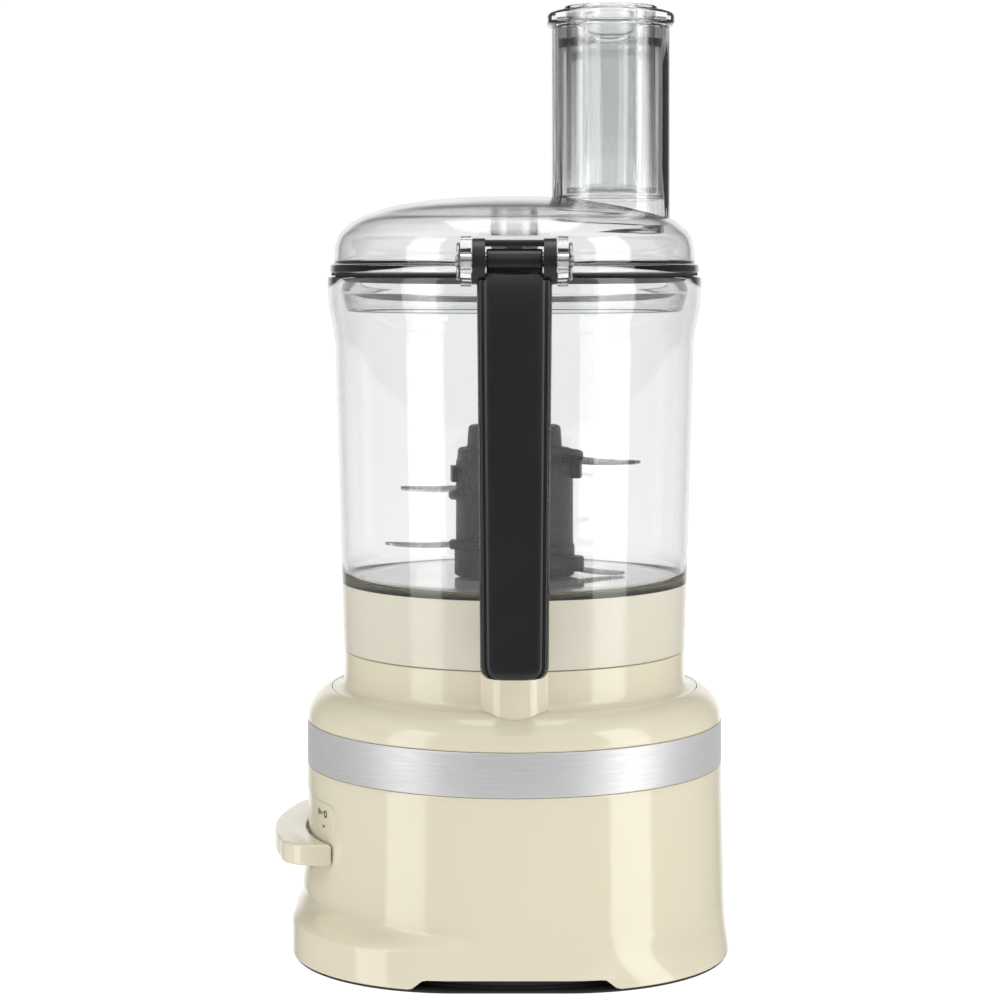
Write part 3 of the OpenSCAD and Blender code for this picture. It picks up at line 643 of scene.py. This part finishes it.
def build_lever():
    reach, half, top = -lever_low.x, lever_high.y, lever_high.z
    under, corner, bow, stem_y = 45.4, 15.0, 130.0, 25
    edge = half - corner
    corner_x = bow - reach - math.sqrt(bow ** 2 - edge ** 2) + corner
    front = []
    for k in range(25):
        y = edge * (2 * k / 24 - 1)
        front.append((bow - reach - math.sqrt(bow ** 2 - y ** 2), y))
    round_low = [(corner_x - corner * math.sin(turn), -edge - corner * math.cos(turn))
                 for turn in (math.pi / 2 * k / 12 for k in range(12))]
    outline = round_low + front[1:-1] + [(x, -y) for x, y in reversed(round_low)]
    for k in range(49):
        y = half * (1 - 2 * k / 48)
        gap = 0.5 + 0.3 * (1 - (y / half) ** 2)
        outline.append((-math.sqrt((panel_radius(y) + gap) ** 2 - y ** 2), y))
    lever = make_object("lever_paddle", prism_mesh(outline, under, top), "cream", "lever", ["control_lever"],
                        "lever_plastic")
    bevel(lever, 1.6, 5, 40)
    stem = temporary(box_mesh((-BASE_R - 0.4, -stem_y, 46.2), (LEVER_PIVOT[0], stem_y, 49.4)))
    boolean(lever, stem, "UNION")
    hub = temporary(prism_mesh(cylinder_outline(5, LEVER_PIVOT), -stem_y, stem_y, "y"))
    boolean(lever, hub, "UNION")
    bore = temporary(prism_mesh(cylinder_outline(2.05, LEVER_PIVOT, 24), -40, 40, "y"))
    boolean(lever, bore)

    low, high = legend_low.z + 0.2, legend_high.z - 0.1
    builder = bmesh.new()
    grid = []
    for depth in (0.0, 0.9):
        side = []
        for i in range(13):
            height = low + (high - low) * i / 12
            ease = max(0.0, (height - (high - 4.0)) / 4.0)
            reach_y = 53.8 - 4.0 * (1 - math.sqrt(max(1 - ease ** 2, 0)))
            row = []
            for k in range(49):
                y = reach_y * (2 * k / 48 - 1)
                radius = panel_radius(y) - depth
                row.append(builder.verts.new((-math.sqrt(radius ** 2 - y ** 2) * MM, y * MM, height * MM)))
            side.append(row)
        grid.append(side)
    for side in grid:
        for a, b in zip(side, side[1:]):
            for k in range(48):
                builder.faces.new((a[k], a[k + 1], b[k + 1], b[k]))
    edge = [(0, k) for k in range(48)] + [(i, 48) for i in range(12)]
    edge += [(12, k) for k in range(48, 0, -1)] + [(i, 0) for i in range(12, 0, -1)]
    for (i, k), (j, m) in zip(edge, edge[1:] + edge[:1]):
        builder.faces.new((grid[0][i][k], grid[0][j][m], grid[1][j][m], grid[1][i][k]))
    plate = make_object("legend_panel", builder, "cream", "base", ["legend_plate"], "legend")
    bevel(plate, 0.35, 3, 50)
    build_marks()


def build_marks():
    """Plain generic marks: an open ring, a dot and bars of growing length for the lever's places."""
    builder = bmesh.new()

    def patch(y, z, w, h):
        outline = [(y - w / 2, z - h / 2), (y + w / 2, z - h / 2),
                   (y + w / 2, z + h / 2), (y - w / 2, z + h / 2)]
        shells = [[builder.verts.new((-math.sqrt((panel_radius(u) + out) ** 2 - u ** 2) * MM, u * MM, v * MM))
                   for u, v in outline] for out in (0.1, -0.1)]
        cap(builder, *shells)
        skin(builder, shells)

    for group, y0 in enumerate((-46.5, -2.5, 41.5)):
        for k in range(12):
            angle = 2 * math.pi * k / 12
            patch(y0 + 1.3 * math.cos(angle), 67.3 + 1.3 * math.sin(angle), 0.75, 0.75)
        for k in range(4 - group):
            patch(y0 + 3.6 + 1.5 * k, 67.3, 0.7, 1.2 + 0.5 * k)
        for k in range(group + 2):
            patch(y0 + 1.2 + 1.4 * k, 61.6, 0.8, 1.0)
    make_object("legend_marks", builder, "ink", "base", slot="legend")


# -------- bowl
def wall_radius(z, inset=0.0):
    """The bowl widens steadily from its foot, then steps out below the rim."""
    radius = 79.9 + 4.3 * (z - FOOT_Z) / 143.8
    radius += (RIM_R - 85.1) * smoothstep(279, 300, z)
    return radius - inset


def build_bowl():
    floor, top = 167.0, RIM_Z
    outer = [(wall_radius(z), z) for z in
             [FOOT_Z + 0.8, 142, 150, 158, 164, 166, 168, 171, 175, 190, 210, 230, 250, 268, 276,
              *range(280, 302, 3), 305, top - 1.0]]
    inner = [(wall_radius(z, WALL), z) for z in
             [top - 0.9, 305, *range(301, 279, -3), 276, 268, 250, 230, 210, 190, 178]]
    corner_r = wall_radius(171, WALL)
    inside = fillet([(corner_r + 0.2, 178), (corner_r, floor + 2.8, 5.0), (13.5, floor + 2.8, 1.4),
                     (11.5, floor + 5, 1), (11.5, 198, 0.8), (9, 198, 0.8), (9, floor, 0.6),
                     (skirt_radius(floor), floor, 1.6),
                     (skirt_radius(FOOT_Z), FOOT_Z, 0.4), (wall_radius(FOOT_Z), FOOT_Z, 0.6),
                     (wall_radius(FOOT_Z), FOOT_Z + 0.8)], 7, False)
    rim = [(wall_radius(top, 0.4), top - 0.25), (wall_radius(top, 1.1), top),
           (wall_radius(top, 1.9), top - 0.1)]
    bowl = lathe("bowl_wall", outer + rim + inner + inside[1:-1], ["clear", "frost", "pearl"], "bowl",
                 ["bowl_shell"], "clear_plastic", 192)
    lug = temporary(box_mesh((-10, 82, 296), (10, 89.4, 300)))
    boolean(lug, lathe_mesh([(0, 280), (84.6, 280), (85.6, 310), (0, 310)], 96))
    boolean(bowl, lug, "UNION")
    for face in bowl.data.polygons:
        center = face.center / MM
        radius = math.hypot(center.x, center.y)
        if radius > 12 and center.z < floor + 1.0:
            face.material_index = 1
        elif 12 < radius < corner_r - 1.5 and center.z < floor + 3.2:
            face.material_index = 2


def skirt_radius(z):
    return 77.2 + 0.5 * (z - FOOT_Z) / 30


def grip_outline(grow):
    """The handle seen from outside: a little wider at the top, with round lower corners."""
    low = cover_low.z - grow
    high = cover_high.z + grow
    half_low, half_high = GRIP_LOW + grow, GRIP_HIGH + grow
    return fillet([(-half_low, low, GRIP_CORNER), (half_low, low, GRIP_CORNER), (half_high, high),
                   (-half_high, high)], 8)


def yoke_room():
    """Clear space for the hinge's discs and barrel."""
    tools = []
    for sign in (-1, 1):
        for start, radius in ((12.2, 10.5), (18.0, 11.4)):
            tools.append(rod(radius, *sorted((sign * start, sign * 40))))
    tools.append(rod(5.9, -40, 40))
    return tools


def build_handle():
    # front cover: a shallow channel section with two fine ridges along each side
    builder = bmesh.new()
    low, high = cover_low.z, cover_high.z
    section = [(-1.0, 7.8), (-1.0, 2.9), (-0.985, 1.9), (-0.955, 1.25), (-0.905, 0.9), (-0.88, 1.5),
               (-0.85, 1.7), (-0.82, 1.3), (-0.76, 0.75), (-0.6, 0.25), (-0.3, 0.05), (0, 0)]
    section += [(-u, v) for u, v in reversed(section[:-1])]
    heights = [0, 0.6, 1.6, 3.2, 5.5] + [10 + 8 * k for k in range(16)] + [
        134, 138, 142, 146, 150, 154, 157, 160, 163, 165.5, 167.5, 169.2, 170.6, 171.7]
    rows = []
    for step in heights:
        z = low + step
        half = GRIP_LOW + (GRIP_HIGH - GRIP_LOW) * step / (high - low)
        corner = max(0.0, 1 - step / GRIP_CORNER)
        half -= GRIP_CORNER * (1 - math.sqrt(max(1 - corner ** 2, 0)))
        roll = max(0.0, step - 136) / (high - low - 136)
        back = 7.0 * (1 - math.sqrt(max(1 - (0.93 * roll) ** 2, 0)))
        toe = 1.6 * max(0.0, 1 - step / 3.2) ** 2
        rows.append([builder.verts.new((half * u * MM, min(GRIP_Y + v + back + toe, GRIP_Y + 7.8) * MM,
                                        z * MM)) for u, v in section])
    skin(builder, rows)
    cap(builder, rows[0], rows[-1])
    cover = make_object("handle_front", builder, "black", "bowl", ["handle_cover"], "black_plastic")
    for tool in yoke_room():
        boolean(cover, tool)
    bevel(cover, 0.25, 2, 45)

    frame_piece = prism("handle_core", grip_outline(0.5), GRIP_Y + 8, GRIP_Y + 14, "clear", "bowl", "y",
                        nodes=["handle_frame"], slot="clear_plastic")
    for z0, z1 in ((290, 305), (142, 160)):
        bridge = fillet([(-12, z0, 3), (12, z0, 3), (12, z1, 3), (-12, z1, 3)], 5)
        boolean(frame_piece, prism_mesh(bridge, GRIP_Y + 9, -76, "y"), "UNION")
    bowl_space = [(0, 100), (wall_radius(FOOT_Z) + 0.05, 100)] + [
        (wall_radius(z) + 0.05, z) for z in (FOOT_Z, 165, 280, 286, 292, 298, 304, 310)] + [(0, 310)]
    boolean(frame_piece, lathe_mesh(bowl_space, 128))
    for tool in yoke_room():
        boolean(frame_piece, tool)
    boolean(frame_piece, box_mesh((-3, -116.5, 130), (3, -112.5, 303)))
    boolean(frame_piece, box_mesh((-3, -116.5, 130), (3, -82.8, 153.5)))
    bevel(frame_piece, 0.4, 2, 50)

    back = prism("handle_rear", grip_outline(-0.3), GRIP_Y + 14.1, GRIP_Y + 17.9, "black", "bowl", "y",
                 nodes=["handle_back"], slot="black_plastic")
    for tool in yoke_room():
        boolean(back, tool)
    for z0, z1 in ((289.8, 305.2), (141.8, 160.2)):
        boolean(back, box_mesh((-12.2, -130, z0), (12.2, -100, z1)))
    boolean(back, box_mesh((-3.2, -116.5, 130), (3.2, -100, 142)))
    bevel(back, 0.9, 3, 45)


def disc_x(name, radius, x0, x1, material, body, bore=0.0, center=None, **options):
    """A disc or barrel on an axis along X, with an optional bore."""
    center = center or HINGE
    piece = prism(name, cylinder_outline(radius, (center.y, center.z), 64), x0, x1, material, body, "x",
                  **options)
    if bore:
        boolean(piece, rod(bore, x0 - 5, x1 + 5, center, 32))
    return piece


def build_hinge():
    barrel = disc_x("barrel", 5.4, -12, 12, "black", "bowl", 2.55, nodes=["hinge_barrel"],
                    slot="black_plastic")
    bevel(barrel, 0.6, 3, 50)
    yoke = disc_x("yoke", YOKE_R, -18, -12.6, "black", "lid", nodes=["hinge_yoke"], slot="black_plastic")
    boolean(yoke, rod(YOKE_R, 12.6, 18, steps=64), "UNION")
    bridge = fillet([(HINGE.y - 2, HINGE.z + 6.4), (HINGE.y + 6, HINGE.z + 6.4),
                     (HINGE.y + 6, HINGE.z + 9.3, 1.5), (HINGE.y - 2, HINGE.z + 9.3, 1.5)], 4)
    boolean(yoke, prism_mesh(bridge, -15, 15, "x"), "UNION")
    for sign in (-1, 1):
        x0, x1 = sorted((sign * 12.6, sign * 18))
        arm = fillet([(HINGE.y, 313), (-88.8, 313, 2), (-88.8, 321, 2), (HINGE.y, 321)], 4)
        boolean(yoke, prism_mesh(arm, x0, x1, "x"), "UNION")
    boolean(yoke, rod(6.2, -12.4, 12.4))
    boolean(yoke, rod(2.5, -20, 20, steps=32))
    bevel(yoke, 0.6, 3, 45)
    for side, sign in (("left", -1), ("right", 1)):
        wire_ring(f"clip_{side}", sign * 24.0, 7.4, 0.75)
    pin = disc_x("pin", 2.48, -25.4, 25.4, "steel", "lid", nodes=["hinge_pin"], slot="steel")
    bevel(pin, 0.4, 2, 50)


def wire_ring(name, x, radius, wire):
    """An open ring of spring wire round the hinge pin, with both ends bent in to grip it."""
    path = []
    for k in range(41):
        turn = math.radians(205 + 310 * k / 40)
        path.append(Vector((x, HINGE.y + radius * math.cos(turn), HINGE.z + radius * math.sin(turn))))
    for end in (0, -1):
        inward = Vector((x, HINGE.y, HINGE.z)) - path[end]
        tip = path[end] + inward.normalized() * (radius - 2.6 - wire)
        path = [tip] + path if end == 0 else path + [tip]
    builder = bmesh.new()
    rings = []
    for i, point in enumerate(path):
        along = (path[min(i + 1, len(path) - 1)] - path[max(i - 1, 0)]).normalized()
        across = Vector((1, 0, 0))
        up = along.cross(across).normalized()
        rings.append([builder.verts.new((point + (across * math.cos(a) + up * math.sin(a)) * wire) * MM)
                      for a in (2 * math.pi * j / 12 for j in range(12))])
    skin(builder, rings)
    cap(builder, rings[0], rings[-1])
    make_object(name, builder, "steel", "lid", ["hinge_clips"], "steel")


# -------- lid
def dome_profile(inset=0.0):
    points = [(DOME_R, LID_Z + 5.6), (84.4, 320.5), (84.0, 325.2), (82.2, 330.2), (78.5, 334.2),
              (74.5, 337.1), (70.2, 339.1), (63.2, 341.8), (55.7, 343.8), (44.4, 345.8),
              (33.0, DOME_TOP - 0.8), (20.0, DOME_TOP - 0.2), (0.0, DOME_TOP)]
    curve = spline(points, 4)
    if not inset:
        return curve
    shifted = []
    for i, point in enumerate(curve):
        before = Vector(curve[max(i - 1, 0)])
        after = Vector(curve[min(i + 1, len(curve) - 1)])
        along = (after - before).normalized()
        shifted.append((max(point[0] - along.y * inset, 0), point[1] + along.x * inset))
    shifted[-1] = (0.0, DOME_TOP - inset)
    return shifted


def build_lid():
    flange = fillet([(81.3, LID_Z), (FLANGE_R, LID_Z, 0.9), (FLANGE_R, LID_Z + 3.7, 1.2),
                     (84.8, LID_Z + 4.1, 0.8), (DOME_R, LID_Z + 5.6)], 4, False)
    skirt_out = fillet([(76.6, 294.4, 0.8), (78.4, 294.4, 1.2), (79.2, 296.6, 1.5), (81.2, 303, 1.0),
                        (81.3, LID_Z)], 5, False)
    skirt_in = [(78.7, 312), (78.7, 303), (76.9, 297), (76.5, 294.9)]
    inner = [point for point in reversed(dome_profile(WALL)) if point[1] > 316]
    profile = skirt_out[:-1] + flange + dome_profile()[1:] + inner + [(81.0, 316), (79.4, 314)] + skirt_in
    lid = lathe("lid_dome", profile, "clear", "lid", ["lid_shell", "feed_tube"], "clear_plastic", 192)
    boss = lathe_mesh(fillet([(8.4, 333.4, 0.5), (11, 333.4, 0.5), (11, 346), (8.4, 346)], 3), 48)
    boolean(lid, boss, "UNION")
    half = TUBE_W / 2
    tube = temporary(stadium_loft([(half, 325), (half, TUBE_TOP - 0.4), (half - 0.5, TUBE_TOP - 0.1),
                                   (half - 2, TUBE_TOP - 0.1), (half - TUBE_WALL, TUBE_TOP - 0.6),
                                   (half - TUBE_WALL, 325)]))
    under = [(0.0, 200.0), (DOME_R - WALL, 200.0)] + dome_profile(WALL)
    boolean(tube, lathe_mesh(under, 128))
    boolean(lid, tube, "UNION")
    boolean(lid, prism_mesh(stadium(2 * (half - TUBE_WALL)), 300, 360))
    inside = [(0, 290), (83, 290), (83, 340), (0, 340)]
    for sign in (-1, 1):
        x0, x1 = sorted((sign * 18.4, sign * 22.9))
        ear = rod(EAR_R, x0, x1, steps=64)
        arm = fillet([(HINGE.y, 312.5), (-79, 312.5), (-79, 320), (HINGE.y, 320)], 2)
        boolean(ear, prism_mesh(arm, x0, x1, "x"), "UNION")
        boolean(ear, lathe_mesh(inside, 96))
        boolean(lid, ear, "UNION")
        x0, x1 = sorted((sign * 12.7, sign * 15.9))
        lug = rod(3.9, x0, x1, LATCH, 32)
        boolean(lug, box_mesh((x0, 80, 314.6), (x1, LATCH.y, 322.4)), "UNION")
        boolean(lug, lathe_mesh(inside, 96))
        boolean(lid, lug, "UNION")
    for center, radius in ((HINGE, 2.52), (LATCH, 1.52)):
        boolean(lid, rod(radius, -40, 40, center, 32))
    shade(lid, math.radians(28))
    lathe("gasket", fillet([(81.35, 306.9, 0.8), (83.8, 307.3, 0.8), (84.0, 310.9, 0.3), (85.9, 310.9, 0.5),
                            (85.9, 312.2, 0.3), (81.35, 312.2, 0.3)], 4),
          "rubber", "lid", ["lid_gasket"], "rubber", 192)


def build_latch():
    outline = fillet([(90.9, 291.6), (90.9, 327, 1), (94.1, 327.8, 1.2), (94.1, 291.6, 1.6)], 4)
    latch = prism("latch_lever", outline, -12, 12, "black", "latch", "x", nodes=["lid_latch"],
                  slot="black_plastic")
    boolean(latch, rod(3.5, -12, 12, LATCH), "UNION")
    boolean(latch, box_mesh((-12, 90.2, 291.6), (12, 92, 295)), "UNION")
    boolean(latch, rod(1.55, -20, 20, LATCH, 24))
    bevel(latch, 0.5, 3, 45)
    disc_x("latch_axle", 1.48, -16.4, 16.4, "steel", "lid", center=LATCH, nodes=["latch_pin"], slot="steel")


# -------- pushers
def build_pushers():
    top = TUBE_TOP
    sleeve = TUBE_W / 2 - TUBE_WALL - PUSHER_GAP
    lip = TUBE_W / 2 + 2.3
    profile = fillet([(sleeve, 346.2, 0.4), (sleeve, top + 0.6), (lip - 2.0, top + 0.6, 0.3),
                      (lip, top + 1.6, 1.8), (lip, top + 6.0, 2.2), (lip - 3.2, top + 7.4, 1.4),
                      (lip - 5.5, top + 6.6, 1.0),
                      (21.5, top + 6.2, 0.8), (21.4, top - 6, 1.5), (sleeve - 2.0, top - 10, 3),
                      (sleeve - 2.0, 348, 0.3), (21.4, 347.8, 0.4), (21.4, 346.2, 0.2)], 6)
    make_object("pusher_outer", stadium_loft(profile), "thin", "outer_pusher", ["large_pusher"],
                "clear_plastic")

    half, rim, hole = 20.9, 21.8, 14.5 + 1.4
    shell = fillet([(half, 349.1, 0.8), (half, top + 7.8, 0.3), (rim, top + 7.9, 0.6), (rim, top + 9.6, 0.8),
                    (hole, top + 9.6, 0.4), (hole, top + 7.0), (half - 1.9, top + 6.4, 1),
                    (half - 1.9, 351.2, 0.8), (hole, 351.2), (hole, 349.1)], 5)
    make_object("pusher_middle", stadium_loft(shell), "thin", "middle_pusher", ["medium_pusher"],
                "clear_plastic")

    profile = fillet([(0, 350), (14, 350, 1.5), (14, top + 9.9), (17, top + 9.9, 0.3), (17, top + 10.6, 0.4),
                      (12.2, top + 10.6, 0.4), (12, 352.2, 1.5), (0, 352.2)], 5, False)
    builder = lathe_mesh(profile, 96, closed=False)
    bmesh.ops.translate(builder, verts=builder.verts, vec=(TUBE_X * MM, 0, 0))
    make_object("pusher_inner", builder, "thin", "inner_pusher", ["small_pusher"], "clear_plastic")


# -------- blade
def build_hub():
    low, top = hub_low.z, hub_high.z
    profile = fillet([(15.4, low), (28.2, low, 0.8), (28.2, 184.6, 0.8), (27.5, 185.4, 0.5), (27.5, 224, 1.2),
                      (26.9, 225, 1.0), (26.6, 230, 1.6), (22.3, 230.6, 1.2), (21.6, top, 2.0), (0, top)],
                     5, False)
    profile += [(0, 224), (8.3, 224), (8.3, 216.5), (15.4, 216.4)]
    hub = lathe("hub", profile, "hub", "blade", ["blade_hub"], "hub_plastic", 128)
    for turn, z0, z1, reach, spread, rise in (
            (-24, 226.4, 230.2, 32.8, 95, 7.0), (202, 207.6, 211.4, 31.2, 115, -8.0),
            (205, 183.6, 187.8, 31.2, 120, -4.0), (-28, 173.8, 180.6, 33.0, 150, 6.0)):
        boolean(hub, ramp_mesh(turn, z0, z1, reach, spread, rise), "UNION")
    for turn, z0, z1, reach in ((-8, 216.4, 226.6, 31.4), (188, 214.6, 222.0, 29.8)):
        tab = box_mesh((24, -4.5, z0), (reach, 4.5, z1))
        bmesh.ops.rotate(tab, verts=tab.verts, cent=(0, 0, 0),
                         matrix=Matrix.Rotation(math.radians(turn), 3, "Z"))
        boolean(hub, tab, "UNION")
    bevel(hub, 0.5, 2, 50)


def ramp_mesh(turn, z0, z1, reach, spread, rise):
    """A collar that winds part of the way round the hub and climbs."""
    builder = bmesh.new()
    rings = []
    steps = 24
    for k in range(steps + 1):
        share = k / steps
        angle = math.radians(turn - spread / 2 + spread * share)
        lift = -rise * (share - 0.5)
        end = math.sin(math.pi * min(max(share, 0.02), 0.98)) ** 0.35
        out = 26.5 + (reach - 26.5) * end
        ring = []
        for radius, z in ((25, z0), (out - 0.8, z0), (out, z0 + 0.9),
                          (out, z1 - 0.9), (out - 0.8, z1), (25, z1)):
            ring.append(builder.verts.new((radius * math.cos(angle) * MM, radius * math.sin(angle) * MM,
                                           (z + lift) * MM)))
        rings.append(ring)
    for a, b in zip(rings, rings[1:]):
        for k in range(6):
            n = (k + 1) % 6
            builder.faces.new((a[k], b[k], b[n], a[n]))
    cap(builder, rings[0], rings[-1])
    return builder


def build_blades():
    """Four thin blades, each swept back, hollow-ground along its cutting edge and dished a little."""
    for number, (turn, z, reach, tilt, pitch) in enumerate((
            (-20, 227.6, 60.6, 3, 3), (160, 212.2, 56.6, 2, -4),
            (180, 185.6, 60.6, 0, 0), (0, 178.4, 52.6, 8, 0))):
        builder = bmesh.new()
        columns = 28
        rows = []
        for k in range(columns + 1):
            share = k / columns
            x = 20 + (reach - 20) * share
            width = 11.5 * math.sqrt(max(1 - share ** 3.2, 0.0008))
            y0 = -width + 3.5 * share ** 2
            y1 = width * 0.72 + 3.5 * share ** 2
            sag = -1.1 * math.sin(math.pi * share)
            ring = []
            for part, lift in ((0.0, 0.0), (0.22, 0.55), (0.8, 0.7), (1.0, 0.55), (1.0, -0.55), (0.22, -0.6)):
                ring.append(builder.verts.new((x * MM, (y0 + (y1 - y0) * part) * MM, (lift + sag) * MM)))
            rows.append(ring)
        skin(builder, rows)
        cap(builder, rows[-1], rows[0])
        place = Matrix.Rotation(math.radians(turn), 4, "Z") @ Matrix.Translation((0, 0, z * MM)) @ \
            Matrix.Rotation(math.radians(tilt), 4, "Y") @ Matrix.Rotation(math.radians(pitch), 4, "X")
        bmesh.ops.transform(builder, matrix=place, verts=builder.verts)
        make_object(f"blade_{number + 1}", builder, "blade", "blade", ["blades"], "blade_steel")


# -------- CAD pieces that stay
KEPT = {
    "plate": ["motor_plate"], "can": ["motor_can"], "magnet": ["field_magnets", "carbon_brushes"],
    "dark": ["motor_end_cap", "large_pulley", "speed_switch", "lever_bracket", "interlock_switch"],
    "copper": ["armature", "commutator"], "board": ["control_board"],
    "steel": ["base_screws", "motor_shaft", "small_pulley", "drive_shaft", "shaft_bearings", "bearing_tube",
              "lever_pivot"],
    "rubber": ["drive_belt", "shaft_seal", "cord_inlet"],
    "nylon": ["cooling_fan", "interlock_slider", "drive_adapter"],
}


def dress_cad():
    for key, names in KEPT.items():
        for name in names:
            node = frame["nodes"][name]
            for holder in [node] + [child for child in node.children if child.type == "MESH"]:
                if holder.type != "MESH":
                    continue
                for entry in holder.material_slots:
                    entry.material = MATERIALS[key]
                if not holder.material_slots:
                    holder.data.materials.append(MATERIALS[key])


# -------- studio
def build_world():
    """White behind the object, light above and below in front of it, and grey elsewhere."""
    world = bpy.data.worlds.new("studio")
    bpy.context.scene.world = world
    world.use_nodes = True
    tree = world.node_tree
    place = tree.nodes.new("ShaderNodeTexCoord")
    split = tree.nodes.new("ShaderNodeSeparateXYZ")
    tree.links.new(place.outputs["Generated"], split.inputs[0])

    def blend(source, start, end, low, high):
        node = tree.nodes.new("ShaderNodeMapRange")
        node.interpolation_type = "SMOOTHSTEP"
        for socket, value in zip(("From Min", "From Max", "To Min", "To Max"), (start, end, low, high)):
            node.inputs[socket].default_value = value
        tree.links.new(source, node.inputs["Value"])
        return node.outputs["Result"]

    def combine(operation, first, second):
        node = tree.nodes.new("ShaderNodeMath")
        node.operation = operation
        tree.links.new(first, node.inputs[0])
        tree.links.new(second, node.inputs[1])
        return node.outputs[0]

    backdrop = combine("MULTIPLY", blend(split.outputs["Y"], 0.84, 0.96, 0.0, 0.80),
                       blend(split.outputs["Z"], 0.22, 0.50, 1.0, 0.0))
    overhead = combine("MULTIPLY", blend(split.outputs["Z"], 0.34, 0.62, 0.0, 0.78),
                       blend(split.outputs["Y"], -0.10, 0.55, 1.0, 0.0))
    below = combine("MULTIPLY", blend(split.outputs["Z"], -0.62, -0.36, 0.55, 0.0),
                    blend(split.outputs["Y"], 0.10, 0.60, 1.0, 0.0))
    room = blend(split.outputs["Z"], 0.15, 0.75, 0.24, 0.15)
    total = combine("ADD", combine("ADD", backdrop, room), combine("ADD", overhead, below))
    tree.links.new(total, tree.nodes["Background"].inputs["Strength"])
    tree.nodes["Background"].inputs["Color"].default_value = (1, 1, 1, 1)


def build_studio():
    scene = bpy.context.scene
    floor_mesh = bpy.data.meshes.new("floor")
    floor_mesh.from_pydata([(-40, -40, 0), (40, -40, 0), (40, 40, 0), (-40, 40, 0)], [], [(0, 1, 2, 3)])
    floor = bpy.data.objects.new("floor", floor_mesh)
    scene.collection.objects.link(floor)
    shader = Shader("floor_white", (0.30, 0.30, 0.30), Roughness=0.6, Emission_Strength=0.90)
    shader.bsdf.inputs["Emission Color"].default_value = (1, 1, 1, 1)
    shader.mottle(shader.noise(3.0, 2.0), (0.29, 0.29, 0.29))
    floor_mesh.materials.append(shader.material)
    floor.visible_glossy = False
    build_world()

    def softbox(name, azimuth, distance, height, width, tall, radiance):
        light = bpy.data.lights.new(name, "AREA")
        light.shape = "RECTANGLE"
        light.size, light.size_y = width, tall
        light.energy = radiance * math.pi * width * tall
        lamp = bpy.data.objects.new(name, light)
        scene.collection.objects.link(lamp)
        turn = math.radians(azimuth)
        lamp.location = (distance * math.sin(turn), -distance * math.cos(turn), height)
        aim = Vector((0, 0, min(height, 0.25))) - lamp.location
        lamp.rotation_euler = aim.to_track_quat("-Z", "Y").to_euler()
        lamp.visible_camera = False

    softbox("softbox_left", -59, 1.5, 0.25, 0.62, 2.4, 2.2)
    softbox("softbox_right", 64, 1.5, 0.25, 0.68, 2.4, 2.8)
    softbox("overhead", 180, 0.1, 1.7, 1.0, 1.0, 2.0)

    camera = bpy.data.cameras.new("camera")
    camera.sensor_width = 36
    camera.lens = 95.4
    camera.shift_x = -0.0145
    camera.shift_y = -0.232
    camera.clip_end = 50
    viewer = bpy.data.objects.new("camera", camera)
    scene.collection.objects.link(viewer)
    viewer.location = (0, -1.2455, 0.3145)
    viewer.rotation_euler = (math.radians(90), 0, 0)
    scene.camera = viewer
    scene.view_settings.view_transform = "Standard"
    scene.view_settings.look = "None"
    scene.cycles.max_bounces = 24
    scene.cycles.transmission_bounces = 24
    scene.cycles.transparent_max_bounces = 16


build_studio()
build_base()
build_lever()
build_bowl()
build_handle()
build_hinge()
build_lid()
build_latch()
build_pushers()
build_hub()
build_blades()
dress_cad()
